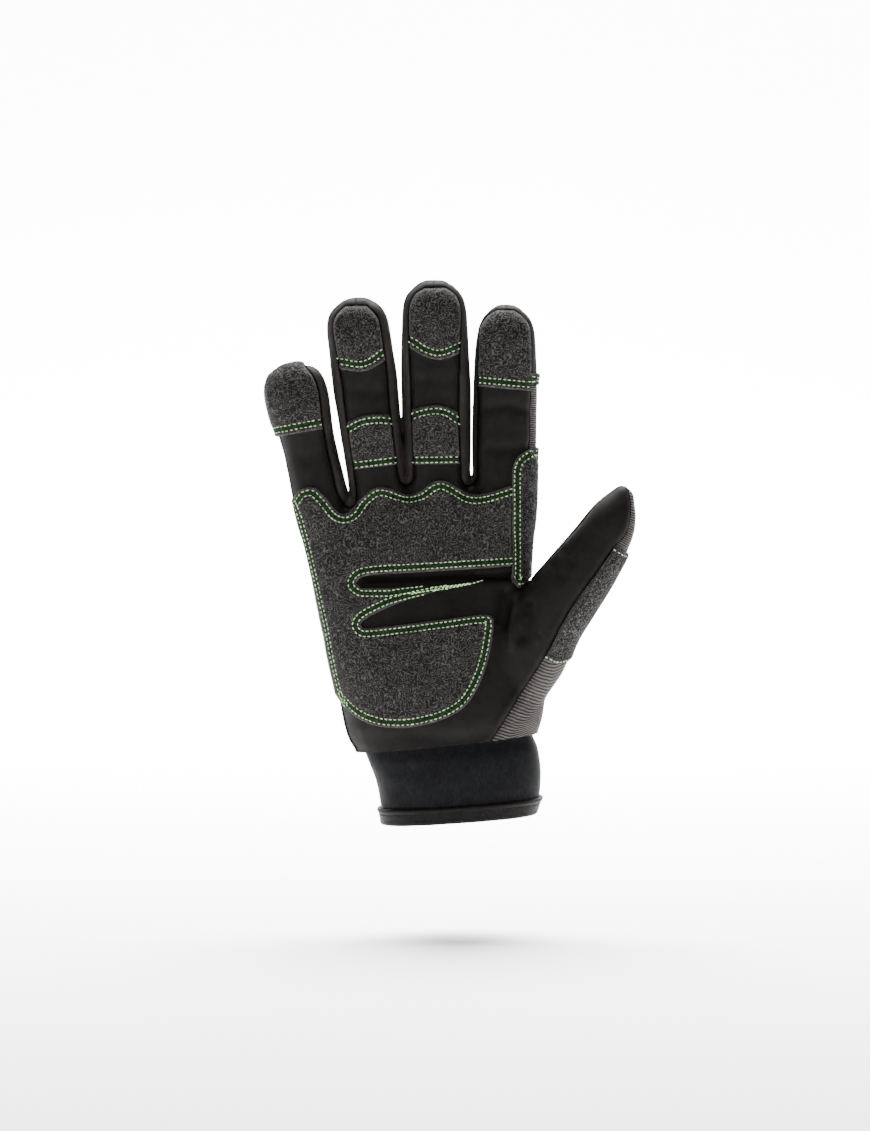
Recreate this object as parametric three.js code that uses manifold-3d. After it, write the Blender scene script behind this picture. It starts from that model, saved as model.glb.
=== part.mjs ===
// A right-hand protective work glove, shown as worn: upright, palm towards -Y, thumb towards +X.
// Units are millimetres and +Z points up the fingers. The origin is the centre of the wrist opening.
// Leather, stretch cloth and neoprene are hollow walls, cut into the panels that a maker would sew.
import * as THREE from "three";
import { mergeVertices } from "three/addons/utils/BufferGeometryUtils.js";
import Module from "manifold-3d";

const wasm = await Module();
wasm.setup();

// Driving dimensions
const WALL = 1.6; // synthetic leather and stretch cloth
const CUFF_WALL = 2.4; // neoprene
const HEM_WALL = 1.1; // binding that wraps the cuff's end
const PATCH = 1.2; // thickness of a reinforcement patch
const GAP = 0.3; // clearance between sewn neighbours
const LEAST_GAP = 0.1; // clearance that a patch keeps in a fold, where offset faces draw together
const TRIM = 0.01; // overrun that keeps two cut faces from lying in one plane
const SQUARENESS = 2.5; // exponent of the rounded sections, 2 is an ellipse
const FINGER_SIDES = 12;
const THUMB_SIDES = 12;
const PALM_SIDES = 20;
const FAR = 90; // half length of a cutting prism along Y
const OVERRUN = 12; // how far an inner form runs past an open end, so that the end is cut clean through

// Hand body, wrist to knuckles: tilt is the rise of the section towards the thumb, per millimetre
const PALM_SECTIONS = [
  { z: 34.6, tilt: 0.105, left: -47.2, right: 35.7, front: -25.0, back: 24.0 },
  { z: 41.0, tilt: 0.09, left: -51.3, right: 37.6, front: -26.0, back: 23.5 },
  { z: 54.0, tilt: 0.03, left: -54.8, right: 39.0, front: -26.2, back: 21.8 },
  { z: 71.0, tilt: 0, left: -59.0, right: 38.2, front: -24.2, back: 19.6 },
  { z: 86.0, tilt: 0, left: -61.8, right: 35.6, front: -22.0, back: 18.5 },
  { z: 99.0, tilt: 0, left: -64.6, right: 32.8, front: -20.0, back: 17.5 },
  { z: 112.0, tilt: 0, left: -67.6, right: 31.2, front: -17.8, back: 17.0 },
  { z: 126.0, tilt: 0.02, left: -71.0, right: 32.4, front: -15.8, back: 16.0 },
  { z: 137.0, tilt: 0.06, left: -74.0, right: 33.4, front: -14.2, back: 14.8 },
  { z: 144.0, tilt: 0.1, left: -72.5, right: 33.4, front: -12.4, back: 13.0 },
  { z: 148.6, tilt: 0.12, left: -66.0, right: 30.0, front: -7.0, back: 7.6 },
];

// Fingers: base and tip of each centre line, its forward curl, and a row for each section
const FINGERS = {
  pinky: {
    base: { x: -63.2, z: 144.3 }, tip: { x: -77.9, z: 206.2 }, curl: -7,
    sections: [
      { along: -22, halfWidth: 9.5, halfDepth: 8.0 }, { along: -8, halfWidth: 12.5, halfDepth: 11.4 },
      { along: 10, halfWidth: 12.7, halfDepth: 11.4 }, { along: 27, halfWidth: 11.8, halfDepth: 10.9 },
      { along: 38, halfWidth: 12.6, halfDepth: 11.2 }, { along: 47, halfWidth: 13.1, halfDepth: 11.0 },
      { along: 54.5, halfWidth: 12.2, halfDepth: 9.8 }, { along: 59.5, halfWidth: 9.6, halfDepth: 7.6 },
      { along: 63.2, halfWidth: 4.4, halfDepth: 3.2 },
    ],
  },
  ring: {
    base: { x: -36.9, z: 144.3 }, tip: { x: -47.6, z: 236.6 }, curl: -9,
    sections: [
      { along: -22, halfWidth: 10.5, halfDepth: 8.6 }, { along: -8, halfWidth: 13.4, halfDepth: 12.2 },
      { along: 16, halfWidth: 13.9, halfDepth: 12.2 }, { along: 38, halfWidth: 14.2, halfDepth: 11.8 },
      { along: 54, halfWidth: 14.8, halfDepth: 11.9 }, { along: 68, halfWidth: 13.9, halfDepth: 11.8 },
      { along: 80.5, halfWidth: 13.3, halfDepth: 11.0 }, { along: 87.4, halfWidth: 11.2, halfDepth: 8.8 },
      { along: 92.4, halfWidth: 5.2, halfDepth: 4.0 },
    ],
  },
  middle: {
    base: { x: -10.0, z: 144.3 }, tip: { x: -11.9, z: 244.6 }, curl: -9,
    sections: [
      { along: -22, halfWidth: 11.0, halfDepth: 9.0 }, { along: -8, halfWidth: 13.9, halfDepth: 12.6 },
      { along: 18, halfWidth: 14.8, halfDepth: 12.5 }, { along: 38, halfWidth: 15.5, halfDepth: 12.1 },
      { along: 54, halfWidth: 15.7, halfDepth: 12.2 }, { along: 70, halfWidth: 15.0, halfDepth: 12.1 },
      { along: 86, halfWidth: 14.3, halfDepth: 11.4 }, { along: 94, halfWidth: 12.2, halfDepth: 9.2 },
      { along: 99.6, halfWidth: 5.8, halfDepth: 4.2 },
    ],
  },
  index: {
    base: { x: 19.9, z: 144.3 }, tip: { x: 21.0, z: 234.0 }, curl: -8,
    sections: [
      { along: -22, halfWidth: 11.4, halfDepth: 9.0 }, { along: -8, halfWidth: 13.6, halfDepth: 12.4 },
      { along: 12, halfWidth: 14.1, halfDepth: 12.4 }, { along: 28, halfWidth: 14.4, halfDepth: 12.0 },
      { along: 46, halfWidth: 14.4, halfDepth: 12.0 }, { along: 62, halfWidth: 14.1, halfDepth: 11.8 },
      { along: 76, halfWidth: 13.2, halfDepth: 10.9 }, { along: 83, halfWidth: 11.2, halfDepth: 8.8 },
      { along: 88.6, halfWidth: 5.4, halfDepth: 4.0 },
    ],
  },
};

// Thumb: a row for each section square to its centre line, from inside the palm to the tip
const THUMB_SECTIONS = [
  { x: 16.0, y: -2.0, z: 44.0, halfWidth: 13.0, halfDepth: 13.0 },
  { x: 24.0, y: -4.6, z: 63.0, halfWidth: 17.6, halfDepth: 16.4 },
  { x: 30.6, y: -7.2, z: 77.0, halfWidth: 19.6, halfDepth: 16.2 },
  { x: 38.4, y: -10.0, z: 89.6, halfWidth: 16.8, halfDepth: 15.0 },
  { x: 46.6, y: -12.6, z: 101.6, halfWidth: 15.8, halfDepth: 13.8 },
  { x: 55.6, y: -15.0, z: 113.9, halfWidth: 14.6, halfDepth: 12.8 },
  { x: 64.4, y: -17.2, z: 127.4, halfWidth: 12.2, halfDepth: 11.4 },
  { x: 70.0, y: -18.6, z: 138.0, halfWidth: 9.4, halfDepth: 9.4 },
  { x: 74.2, y: -19.6, z: 147.4, halfWidth: 3.6, halfDepth: 4.0 },
];

// Webs that close the shell between the fingers' roots
const WEBS = [
  { between: ["ring", "middle"], x: -24.2, z: 146.5 },
  { between: ["middle", "index"], x: 4.8, z: 146.5 },
];
const WEB_SIZE = { halfWidth: 6, halfDepth: 9, height: 7 };

// Cuff: rim to just inside the hand's lower edge
const CUFF_SECTIONS = [
  { z: 0, tilt: 0.07, left: -35.2, right: 34.6, front: -26.6, back: 26.6 },
  { z: 7, tilt: 0.07, left: -36.2, right: 36.6, front: -27.2, back: 27.2 },
  { z: 18, tilt: 0.08, left: -38.2, right: 37.2, front: -27.4, back: 27.2 },
  { z: 27, tilt: 0.1, left: -41.2, right: 35.8, front: -26.0, back: 25.0 },
  { z: 33, tilt: 0.105, left: -43.4, right: 33.4, front: -23.0, back: 22.0 },
  { z: 39, tilt: 0.105, left: -44.6, right: 33.2, front: -22.6, back: 21.6 },
];
// Soft valleys pressed into the front, each along a front-view line
const FOLDS = [
  { name: "beside the thumb ridge", from: [18, 97], to: [11, 76], width: 6, depth: 2.4 },
  { name: "root of the thumb", from: [29, 94], to: [25, 80], width: 5, depth: 2.2 },
  { name: "upper crease of the index finger", from: [8, 190], to: [34, 190.5], width: 5, depth: 0.9 },
  { name: "lower crease of the index finger", from: [6, 169], to: [33, 170], width: 5, depth: 0.9 },
  { name: "dent in the cuff", from: [-27, 12], to: [-22, 22], width: 6, depth: 1.4 },
];
const HEM_TOP = 6.0; // height of the binding
const HEM_BEAD = 0.7; // how far the bead at its top edge stands out

// Front-view seams as [x, z], root to tip: a finger's front panel lies between its left and right seam
const FINGER_SEAMS = {
  pinky: {
    left: [[-95, 138], [-95, 215]],
    right: [
      [-53, 143.4], [-56.4, 151], [-62.0, 178.2], [-63.6, 189.8], [-66.6, 199.2], [-71.6, 203.2],
      [-78.2, 204.6],
    ],
  },
  ring: {
    left: [
      [-47.4, 143], [-49.0, 161], [-51.8, 180], [-55.2, 205.6], [-57.8, 221], [-57, 229], [-52.6, 233.8],
    ],
    right: [
      [-27.2, 153], [-28.6, 161], [-31.2, 181], [-33.2, 205], [-35.6, 222], [-37.4, 229], [-42.2, 234],
    ],
  },
  middle: {
    left: [
      [-21.4, 152], [-21.6, 163], [-22.4, 185], [-23.4, 215], [-23.4, 231], [-21.4, 238.4], [-16.4, 242],
    ],
    right: [[0.7, 152.4], [0.4, 163], [-0.4, 185], [0.2, 215], [0.6, 231], [-1.2, 238.4], [-6.2, 242.2]],
  },
  index: {
    left: [[7.2, 152.4], [7.4, 163], [7.8, 195], [8.4, 221], [11.2, 228.4], [16.4, 232.2]],
    right: [[31.6, 138], [31.6, 168], [32.0, 194], [32.2, 221], [29.8, 228.2], [24.8, 232]],
  },
};
const STRIP_ROOT = 136; // height where the finger strips join the palm's front panel
// The three pockets between the fingers and the low points of their mouths
const POCKETS = [
  { between: ["pinky", "ring"], low: [[-52.4, 142.6], [-50.2, 140.8], [-48.2, 142.4]] },
  { between: ["ring", "middle"], low: [[-27.4, 152], [-24.4, 148.4], [-21.9, 152]] },
  { between: ["middle", "index"], low: [[1.1, 152], [4.0, 150.4], [6.8, 152]] },
];
const TIP_SIDE_FOOT = 199.4; // lower end of the black side piece on the index fingertip

// Seam between front and back: the plane y = at + leanX * (x - fromX) + leanZ * (z - fromZ)
const PALM_SPLIT = { at: 2, leanX: 0, leanZ: 0, fromX: 0, fromZ: 0 };
const FINGER_SPLIT = { at: 2, leanX: 0, leanZ: -0.095, fromX: 0, fromZ: 140 };
const CROTCH_SPLIT = { at: 2, leanX: -0.6, leanZ: 0, fromX: 30, fromZ: 0 };
const THUMB_SPLIT = { at: -2, leanX: -0.085, leanZ: -0.123, fromX: 22, fromZ: 56 };
const SADDLE_SPLIT = { ...PALM_SPLIT, at: 6 };
const THUMB_PATCH_SPLIT = { ...THUMB_SPLIT, at: 3 };

const THUMB_SEAM = [
  [12.8, 33.2], [38.2, 73.2], [46.6, 89.4], [54.0, 101.6], [61.6, 111.8], [69.8, 124.0], [76.6, 133.4],
  [79.2, 141.0],
  [80, 160],
];
// Front-view zones of the one-piece leather front, apart from the finger strips
const FRONT_ZONES = [
  {
    split: PALM_SPLIT,
    outline: [
      [-95, 20], [12.8, 20], [12.8, 33.2], [38.2, 73.2], [37, 104], [37, 166], [31.6, 168], [6.8, 152],
      [4.0, 150.4],
      [1.1, 152], [-21.9, 152], [-24.4, 148.4], [-27.4, 152], [-48.2, 142.4], [-50.2, 140.8],
      [-52.4, 142.6], [-95, 143],
    ],
  },
  { split: CROTCH_SPLIT, outline: [[30, 62], ...THUMB_SEAM.slice(1, 6), [60, 160], [30, 160]] },
  { split: THUMB_SPLIT, outline: [...THUMB_SEAM, [37, 160], [37, 104], [12.8, 90]] },
];

// Front-view outlines of the reinforcement patches, as [x, z]
const PALM_PATCH = {
  top: [
    [-76.3, 144.9], [-72.5, 150.0], [-66.5, 151.0], [-61.5, 146.6], [-55.3, 139.4], [-49.7, 139.6],
    [-44.4, 146.4], [-38.5, 150.8], [-32.5, 150.6], [-24.6, 147.4], [-18.6, 148.8], [-13.4, 152.8],
    [-8.6, 154.2], [-3.4, 152.2], [2.6, 148.2], [8.2, 147.4], [14.8, 149.0], [23.2, 151.8],
  ],
  upperSlot: [
    [23.2, 114.8], [-12.8, 112.7], [-40.5, 111.0], [-46.6, 108.4], [-45.8, 106.0], [-40.3, 105.1],
    [-9.2, 106.2], [10, 107.9],
  ],
  lowerSlot: [
    [-11.4, 103.5], [-25.2, 99.5], [-36.6, 94.6], [-43.6, 90.6], [-44.4, 87.6], [-38.5, 87.2],
    [-8.7, 90.9], [11, 93.1],
  ],
  lobe: [
    [14.9, 90.0], [14.1, 80.3], [11.7, 69.6], [7.8, 60.0], [3.1, 52.9], [-3.5, 48.0], [-12.8, 44.4],
    [-25.5, 42.2], [-38.0, 43.0], [-48, 47.4], [-56, 55.5], [-90, 62], [-90, 144.9],
  ],
};
const SADDLE_PATCH = [
  [37, 170], [35.1, 169.0], [30.7, 167.8], [26.3, 164.8], [24.0, 160.5], [23.6, 154.3], [23.6, 109.4],
  [24.5, 107.1], [27.2, 104.4], [29.5, 106.2], [37, 112],
];
const THUMB_PATCH = [
  [70.1, 123.8], [61.9, 111.5], [54.4, 101.2], [46.9, 89.0], [38.7, 73.4], [43.5, 71.2], [49.0, 72.1],
  [54.9, 75.6], [90, 88], [90, 110],
];
// Bands across the fingers: each patch lies between its lower and upper edge
const FINGER_PATCHES = {
  pinky_tip_patch: { finger: "pinky", low: [[-95, 171], [-82.6, 174], [-62.3, 177.7], [-50, 179]] },
  ring_tip_patch: {
    finger: "ring",
    low: [[-65, 207], [-55.4, 205.2], [-45.5, 203.6], [-38.2, 206.1], [-30, 213]],
  },
  ring_middle_patch: {
    finger: "ring",
    low: [[-60, 157.6], [-47.7, 159.1], [-29.2, 161.3], [-20, 162.4]],
    high: [[-60, 172], [-52, 179.5], [-45.5, 183.2], [-38.2, 184.3], [-31.9, 183.7], [-20, 181]],
  },
  middle_tip_patch: {
    finger: "middle",
    low: [[-30, 220], [-22.7, 214.8], [-17.4, 211.1], [-11.1, 209], [-5.6, 209.8], [0, 212.4], [8, 218]],
  },
  middle_middle_patch: {
    finger: "middle",
    low: [[-30, 161.3], [8, 161.7]],
    high: [[-30, 180], [-22, 185.8], [-16.5, 187.8], [-10.2, 188.5], [-4.7, 187.1], [0, 183.6], [8, 176]],
  },
  index_tip_patch: { finger: "index", low: [[0, 197.6], [8, 197], [32, 194.8], [40, 194]] },
};
const PATCH_INSET = 0.5; // gap between a finger patch and the finger's seams
const ROOF = 260; // above every fingertip

const LEATHER = new THREE.MeshStandardMaterial({ color: 0x211f1e, roughness: 0.72, metalness: 0 });
const RIBBED = new THREE.MeshStandardMaterial({ color: 0x6f6763, roughness: 0.85, metalness: 0 });
const TEXTURED = new THREE.MeshStandardMaterial({ color: 0x4a4a4a, roughness: 0.95, metalness: 0 });
const NEOPRENE = new THREE.MeshStandardMaterial({ color: 0x24252a, roughness: 0.8, metalness: 0 });
const BINDING = new THREE.MeshStandardMaterial({ color: 0x2b2423, roughness: 0.75, metalness: 0 });

// A closed BufferGeometry as a manifold solid
function solidFrom(geometry) {
  const bare = new THREE.BufferGeometry();
  bare.setAttribute("position", geometry.getAttribute("position"));
  if (geometry.index) bare.setIndex(geometry.index);
  const merged = mergeVertices(bare, 1e-4);
  return new wasm.Manifold(
    new wasm.Mesh({
      numProp: 3,
      vertProperties: new Float32Array(merged.attributes.position.array),
      triVerts: new Uint32Array(merged.index.array),
    }),
  );
}

// A manifold solid as a named mesh
function meshFrom(name, solid, material) {
  const data = solid.getMesh();
  const geometry = new THREE.BufferGeometry();
  geometry.setAttribute("position", new THREE.BufferAttribute(new Float32Array(data.vertProperties), 3));
  geometry.setIndex(new THREE.BufferAttribute(new Uint32Array(data.triVerts), 1));
  geometry.computeVertexNormals();
  const mesh = new THREE.Mesh(geometry, material);
  mesh.name = name;
  return mesh;
}

const signedPower = (value, power) => Math.sign(value) * Math.abs(value) ** power;

// A point of the front surface, pushed into the hand where a fold runs
function folded(point) {
  const inFront = new THREE.Vector3(point.x, 0, point.z);
  for (const { from, to, width, depth } of FOLDS) {
    const line = new THREE.Line3(new THREE.Vector3(from[0], 0, from[1]), new THREE.Vector3(to[0], 0, to[1]));
    const away = line.closestPointToPoint(inFront, true, new THREE.Vector3()).distanceTo(inFront);
    if (point.y < 0) point.y += depth * Math.exp(-((away / width) ** 2));
  }
  return point;
}

// One closed loop of a rounded section, counter-clockwise about its forward direction
function sectionLoop({ centre, across, deep, halfWidth, halfDepth }, sides) {
  const loop = [];
  for (let side = 0; side < sides; side++) {
    const angle = (2 * Math.PI * (side + 0.5)) / sides;
    const u = halfWidth * signedPower(Math.cos(angle), 2 / SQUARENESS);
    const v = halfDepth * signedPower(Math.sin(angle), 2 / SQUARENESS);
    loop.push(folded(centre.clone().addScaledVector(across, u).addScaledVector(deep, v)));
  }
  return loop;
}

// Joins section loops into a closed solid with flat ends
function loftSolid(sections, sides) {
  const loops = sections.map((section) => sectionLoop(section, sides));
  const centres = [sections[0].centre, sections.at(-1).centre];
  const points = [...loops.flat(), ...centres];
  const index = [];
  for (let row = 0; row < loops.length - 1; row++)
    for (let side = 0; side < sides; side++) {
      const next = (side + 1) % sides;
      const [low, high] = [row * sides, (row + 1) * sides];
      index.push(low + side, low + next, high + next, low + side, high + next, high + side);
    }
  const [bottom, top, last] = [loops.length * sides, loops.length * sides + 1, (loops.length - 1) * sides];
  for (let side = 0; side < sides; side++) {
    const next = (side + 1) % sides;
    index.push(bottom, next, side, top, last + side, last + next);
  }
  const geometry = new THREE.BufferGeometry().setFromPoints(points);
  geometry.setIndex(index);
  return solidFrom(geometry);
}

// A section that lies nearly level, as on the palm and cuff
function levelSection({ z, tilt, left, right, front, back }, grow, lift = 0) {
  return {
    centre: new THREE.Vector3((left + right) / 2, (front + back) / 2, z + lift),
    across: new THREE.Vector3(1, 0, tilt),
    deep: new THREE.Vector3(0, 1, 0),
    halfWidth: (right - left) / 2 + grow,
    halfDepth: (back - front) / 2 + grow,
  };
}

// Sections square to a centre line, moved out along their own normals by grow
function spineSections(rows, grow) {
  return rows.map((row, i) => {
    const [before, after] = [rows[Math.max(i - 1, 0)], rows[Math.min(i + 1, rows.length - 1)]];
    const tangent = after.centre.clone().sub(before.centre);
    const run = tangent.length();
    tangent.normalize();
    const slope = i === rows.length - 1 ? -2.4 : (after.halfWidth - before.halfWidth) / run;
    const steep = Math.hypot(1, slope);
    const across = new THREE.Vector3(0, 1, 0).cross(tangent).normalize();
    return {
      centre: row.centre.clone().addScaledVector(tangent, (-grow * slope) / steep),
      across,
      deep: tangent.clone().cross(across),
      halfWidth: Math.max(row.halfWidth + grow / steep, 0.8),
      halfDepth: Math.max(row.halfDepth + grow / steep, 0.6),
    };
  });
}

function fingerSolid({ base, tip, curl, sections }, grow) {
  const reach = Math.hypot(tip.x - base.x, tip.z - base.z);
  const rows = sections.map(({ along, halfWidth, halfDepth }) => {
    const share = along / reach;
    const centre = new THREE.Vector3(
      base.x + (tip.x - base.x) * share,
      curl * Math.max(share, 0) ** 1.5,
      base.z + (tip.z - base.z) * share,
    );
    return { centre, halfWidth, halfDepth };
  });
  return loftSolid(spineSections(rows, grow), FINGER_SIDES);
}

function thumbSolid(grow) {
  const rows = THUMB_SECTIONS.map(({ x, y, z, halfWidth, halfDepth }) => ({
    centre: new THREE.Vector3(x, y, z),
    halfWidth,
    halfDepth,
  }));
  return loftSolid(spineSections(rows, grow), THUMB_SIDES);
}

function palmSolid(grow, openEnd = 0) {
  const last = PALM_SECTIONS.length - 1;
  const rows = PALM_SECTIONS.map((row, i) => levelSection(row, grow, i === last ? grow : 0));
  if (openEnd) rows.unshift(levelSection(PALM_SECTIONS[0], grow, -openEnd));
  return loftSolid(rows, PALM_SIDES);
}

// The whole hand's outer surface moved out by grow, as one solid
function handSolid(grow, openEnd = 0) {
  const fingers = Object.values(FINGERS).map((finger) => fingerSolid(finger, grow));
  const parts = [palmSolid(grow, openEnd), thumbSolid(grow), ...fingers];
  return parts.reduce((whole, part) => whole.add(part));
}

// A front-view outline of [x, z] points as a prism along Y
function prism(outline, yFrom = -FAR, yTo = FAR) {
  const shape = new THREE.Shape(outline.map(([x, z]) => new THREE.Vector2(x, z)));
  const geometry = new THREE.ExtrudeGeometry(shape, { depth: yTo - yFrom, bevelEnabled: false });
  geometry.rotateX(Math.PI / 2).translate(0, yTo, 0);
  return solidFrom(geometry);
}

// An outline moved outwards by a distance, corner by corner
function growOutline(outline, distance) {
  const points = outline.map(([x, z]) => new THREE.Vector2(x, z));
  const turn = THREE.ShapeUtils.area(points) > 0 ? 1 : -1;
  return points.map((point, i) => {
    const before = point.clone().sub(points.at(i - 1)).normalize();
    const after = points[(i + 1) % points.length].clone().sub(point).normalize();
    const normal = new THREE.Vector2(before.y + after.y, -before.x - after.x).setLength(turn);
    const miter = Math.max(normal.x * before.y * turn - normal.y * before.x * turn, 0.5);
    return [point.x + (normal.x * distance) / miter, point.y + (normal.y * distance) / miter];
  });
}

// Half space in front of a splitting plane, which is moved back by shift
function frontOf({ at, leanX, leanZ, fromX, fromZ }, shift = 0) {
  const normal = new THREE.Vector3(-leanX, 1, -leanZ).normalize();
  const slab = new THREE.BoxGeometry(4 * ROOF, 2 * FAR, 4 * ROOF).translate(0, -FAR, 0);
  slab.applyQuaternion(new THREE.Quaternion().setFromUnitVectors(new THREE.Vector3(0, 1, 0), normal));
  const onPlane = new THREE.Vector3(fromX, at, fromZ).addScaledVector(normal, shift);
  return solidFrom(slab.translate(onPlane.x, onPlane.y, onPlane.z));
}

// A finger's front strip between its seams, grown by margin
function stripPrism(finger, margin) {
  const { left, right } = FINGER_SEAMS[finger];
  const outline = [[left[0][0], STRIP_ROOT], ...left, ...[...right].reverse(), [right[0][0], STRIP_ROOT]];
  return prism(growOutline(outline, margin));
}

// Everything that the one-piece front covers, grown by margin
function frontCutter(margin) {
  const zones = FRONT_ZONES.map(({ split, outline }) =>
    prism(growOutline(outline, margin)).intersect(frontOf(split, margin)),
  );
  const fingerFront = frontOf(FINGER_SPLIT, margin);
  const strips = Object.keys(FINGERS).map((finger) => stripPrism(finger, margin).intersect(fingerFront));
  return [...zones, ...strips].reduce((whole, part) => whole.add(part));
}

// The space between two fingers' seams, where their side strip lies, up over both fingertips
function pocketPrism({ between: [first, second], low }, margin) {
  const [right, left] = [FINGER_SEAMS[first].right, FINGER_SEAMS[second].left];
  const [from, to] = [FINGERS[first].tip.x + GAP / 2, FINGERS[second].tip.x - GAP / 2];
  const overTips = [[to, left.at(-1)[1]], [to, ROOF], [from, ROOF], [from, right.at(-1)[1]]];
  return prism(growOutline([...low, ...left, ...overTips, ...[...right].reverse()], margin));
}

// The space beside the index fingertip, on the thumb's side
function tipSidePrism(margin) {
  const above = FINGER_SEAMS.index.right.filter(([, z]) => z > TIP_SIDE_FOOT);
  const seam = above.map(([x, z]) => [x - 2 * GAP, z]);
  const from = FINGERS.index.tip.x + GAP / 2;
  const foot = [[seam[0][0], TIP_SIDE_FOOT], [FAR, TIP_SIDE_FOOT]];
  const overTip = [[FAR, ROOF], [from, ROOF], [from, seam.at(-1)[1]]];
  return prism(growOutline([...foot, ...overTip, ...[...seam].reverse()], margin));
}

// The layer that a patch is cut from, lying just off the leather
const leatherGrown = handSolid(GAP, OVERRUN).add(handSolid(LEAST_GAP, OVERRUN));
const patchLayer = handSolid(GAP + PATCH).subtract(leatherGrown);

function patchOn(outline, split) {
  return patchLayer.intersect(outline).intersect(frontOf(split));
}

function fingerPatch({ finger, low, high }) {
  const top = high ?? [[low[0][0], ROOF], [low.at(-1)[0], ROOF]];
  const band = prism([...low, ...[...top].reverse()]);
  return patchOn(stripPrism(finger, -PATCH_INSET).intersect(band), FINGER_SPLIT);
}

function palmPatch() {
  const { top, upperSlot, lowerSlot, lobe } = PALM_PATCH;
  const curve = new THREE.SplineCurve(top.map(([x, z]) => new THREE.Vector2(x, z)));
  const wavyTop = curve.getPoints(2 * top.length).map(({ x, y }) => [x, y]);
  return patchOn(prism([...wavyTop, ...upperSlot, ...lowerSlot, ...lobe]), PALM_SPLIT);
}

// The cuff's outer form moved out by grow and lengthened by over at each end
function cuffForm(grow, over) {
  const rows = CUFF_SECTIONS.map((row) => levelSection(row, grow));
  rows.unshift(levelSection(CUFF_SECTIONS[0], grow, -over));
  rows.push(levelSection(CUFF_SECTIONS.at(-1), grow, over));
  return loftSolid(rows, PALM_SIDES);
}

// The cuff's wall, thickened by margin on every face
function cuffWall(margin) {
  return cuffForm(margin, margin || TRIM).subtract(cuffForm(-CUFF_WALL - margin, OVERRUN));
}

// The binding folds over the rim: outside, round the edge and up inside
function hemSolid() {
  const thick = GAP + HEM_WALL;
  const bead = thick + HEM_BEAD;
  const profile = [
    { z: -thick, grow: 0.6 }, { z: -0.6, grow: thick }, { z: HEM_TOP - 2.2, grow: thick },
    { z: HEM_TOP - 1.5, grow: bead }, { z: HEM_TOP - 0.3, grow: bead }, { z: HEM_TOP + 0.4, grow: thick },
  ];
  const rows = profile.map(({ z, grow }) => levelSection({ ...CUFF_SECTIONS[0], z }, grow));
  const outside = loftSolid(rows, PALM_SIDES);
  return outside.subtract(cuffWall(GAP)).subtract(cuffForm(-CUFF_WALL - thick, OVERRUN));
}

const hollow = handSolid(-WALL, OVERRUN);
const shell = handSolid(0).subtract(hollow);
const frontGrown = frontCutter(GAP);
const behind = shell.subtract(frontGrown);

// The crotch between two fingers, as a small hollow cap
function webWall({ x, z }) {
  const { halfWidth, halfDepth, height } = WEB_SIZE;
  const [outer, inner] = [0, WALL].map((less) => {
    const ball = new THREE.SphereGeometry(1, 8, 6).scale(halfWidth - less, halfDepth - less, height - less);
    return solidFrom(ball.translate(x, 0, z));
  });
  return outer.subtract(inner).subtract(hollow).subtract(frontGrown);
}

// A side strip runs up both fingers of its pocket and closes the crotch between them
function sideStrip(pocket) {
  const web = WEBS.find(({ between }) => between[0] === pocket.between[0]);
  const walls = web ? behind.add(webWall(web)) : behind;
  return walls.intersect(pocketPrism(pocket, 0));
}

function backPanel() {
  const besidesTip = behind.subtract(tipSidePrism(GAP));
  return POCKETS.reduce((rest, pocket) => rest.subtract(pocketPrism(pocket, GAP)), besidesTip);
}

const group = new THREE.Group();
group.add(meshFrom("palm_panel", shell.intersect(frontCutter(0)), LEATHER));
group.add(meshFrom("back_panel", backPanel(), RIBBED));
for (const pocket of POCKETS)
  group.add(meshFrom("side_strip_" + pocket.between.join("_"), sideStrip(pocket), LEATHER));
group.add(meshFrom("side_strip_index_tip", behind.intersect(tipSidePrism(0)), LEATHER));
group.add(meshFrom("palm_patch", palmPatch(), TEXTURED));
group.add(meshFrom("saddle_patch", patchOn(prism(SADDLE_PATCH), SADDLE_SPLIT), TEXTURED));
group.add(meshFrom("thumb_patch", patchOn(prism(THUMB_PATCH), THUMB_PATCH_SPLIT), TEXTURED));
for (const [name, patch] of Object.entries(FINGER_PATCHES))
  group.add(meshFrom(name, fingerPatch(patch), TEXTURED));
group.add(meshFrom("cuff", cuffWall(0), NEOPRENE));
group.add(meshFrom("hem_binding", hemSolid(), BINDING));

export default group;
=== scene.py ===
"""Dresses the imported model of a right-hand work glove for a studio picture.

The glove stands as worn: fingers up +Z, palm towards -Y, thumb towards +X.  One skin is worked out
for the whole hand, cut along its seams into the panels that a maker sews, and each panel becomes a
closed wall.  Lengths are millimetres until a piece is finished, and metres after that.
"""

import logging
import math
import random
from dataclasses import dataclass, field, replace
from enum import Enum
from typing import Callable

import bmesh
import bpy
import numpy as np
from mathutils import Matrix, Vector, noise
from mathutils.bvhtree import BVHTree
from mathutils.kdtree import KDTree

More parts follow.
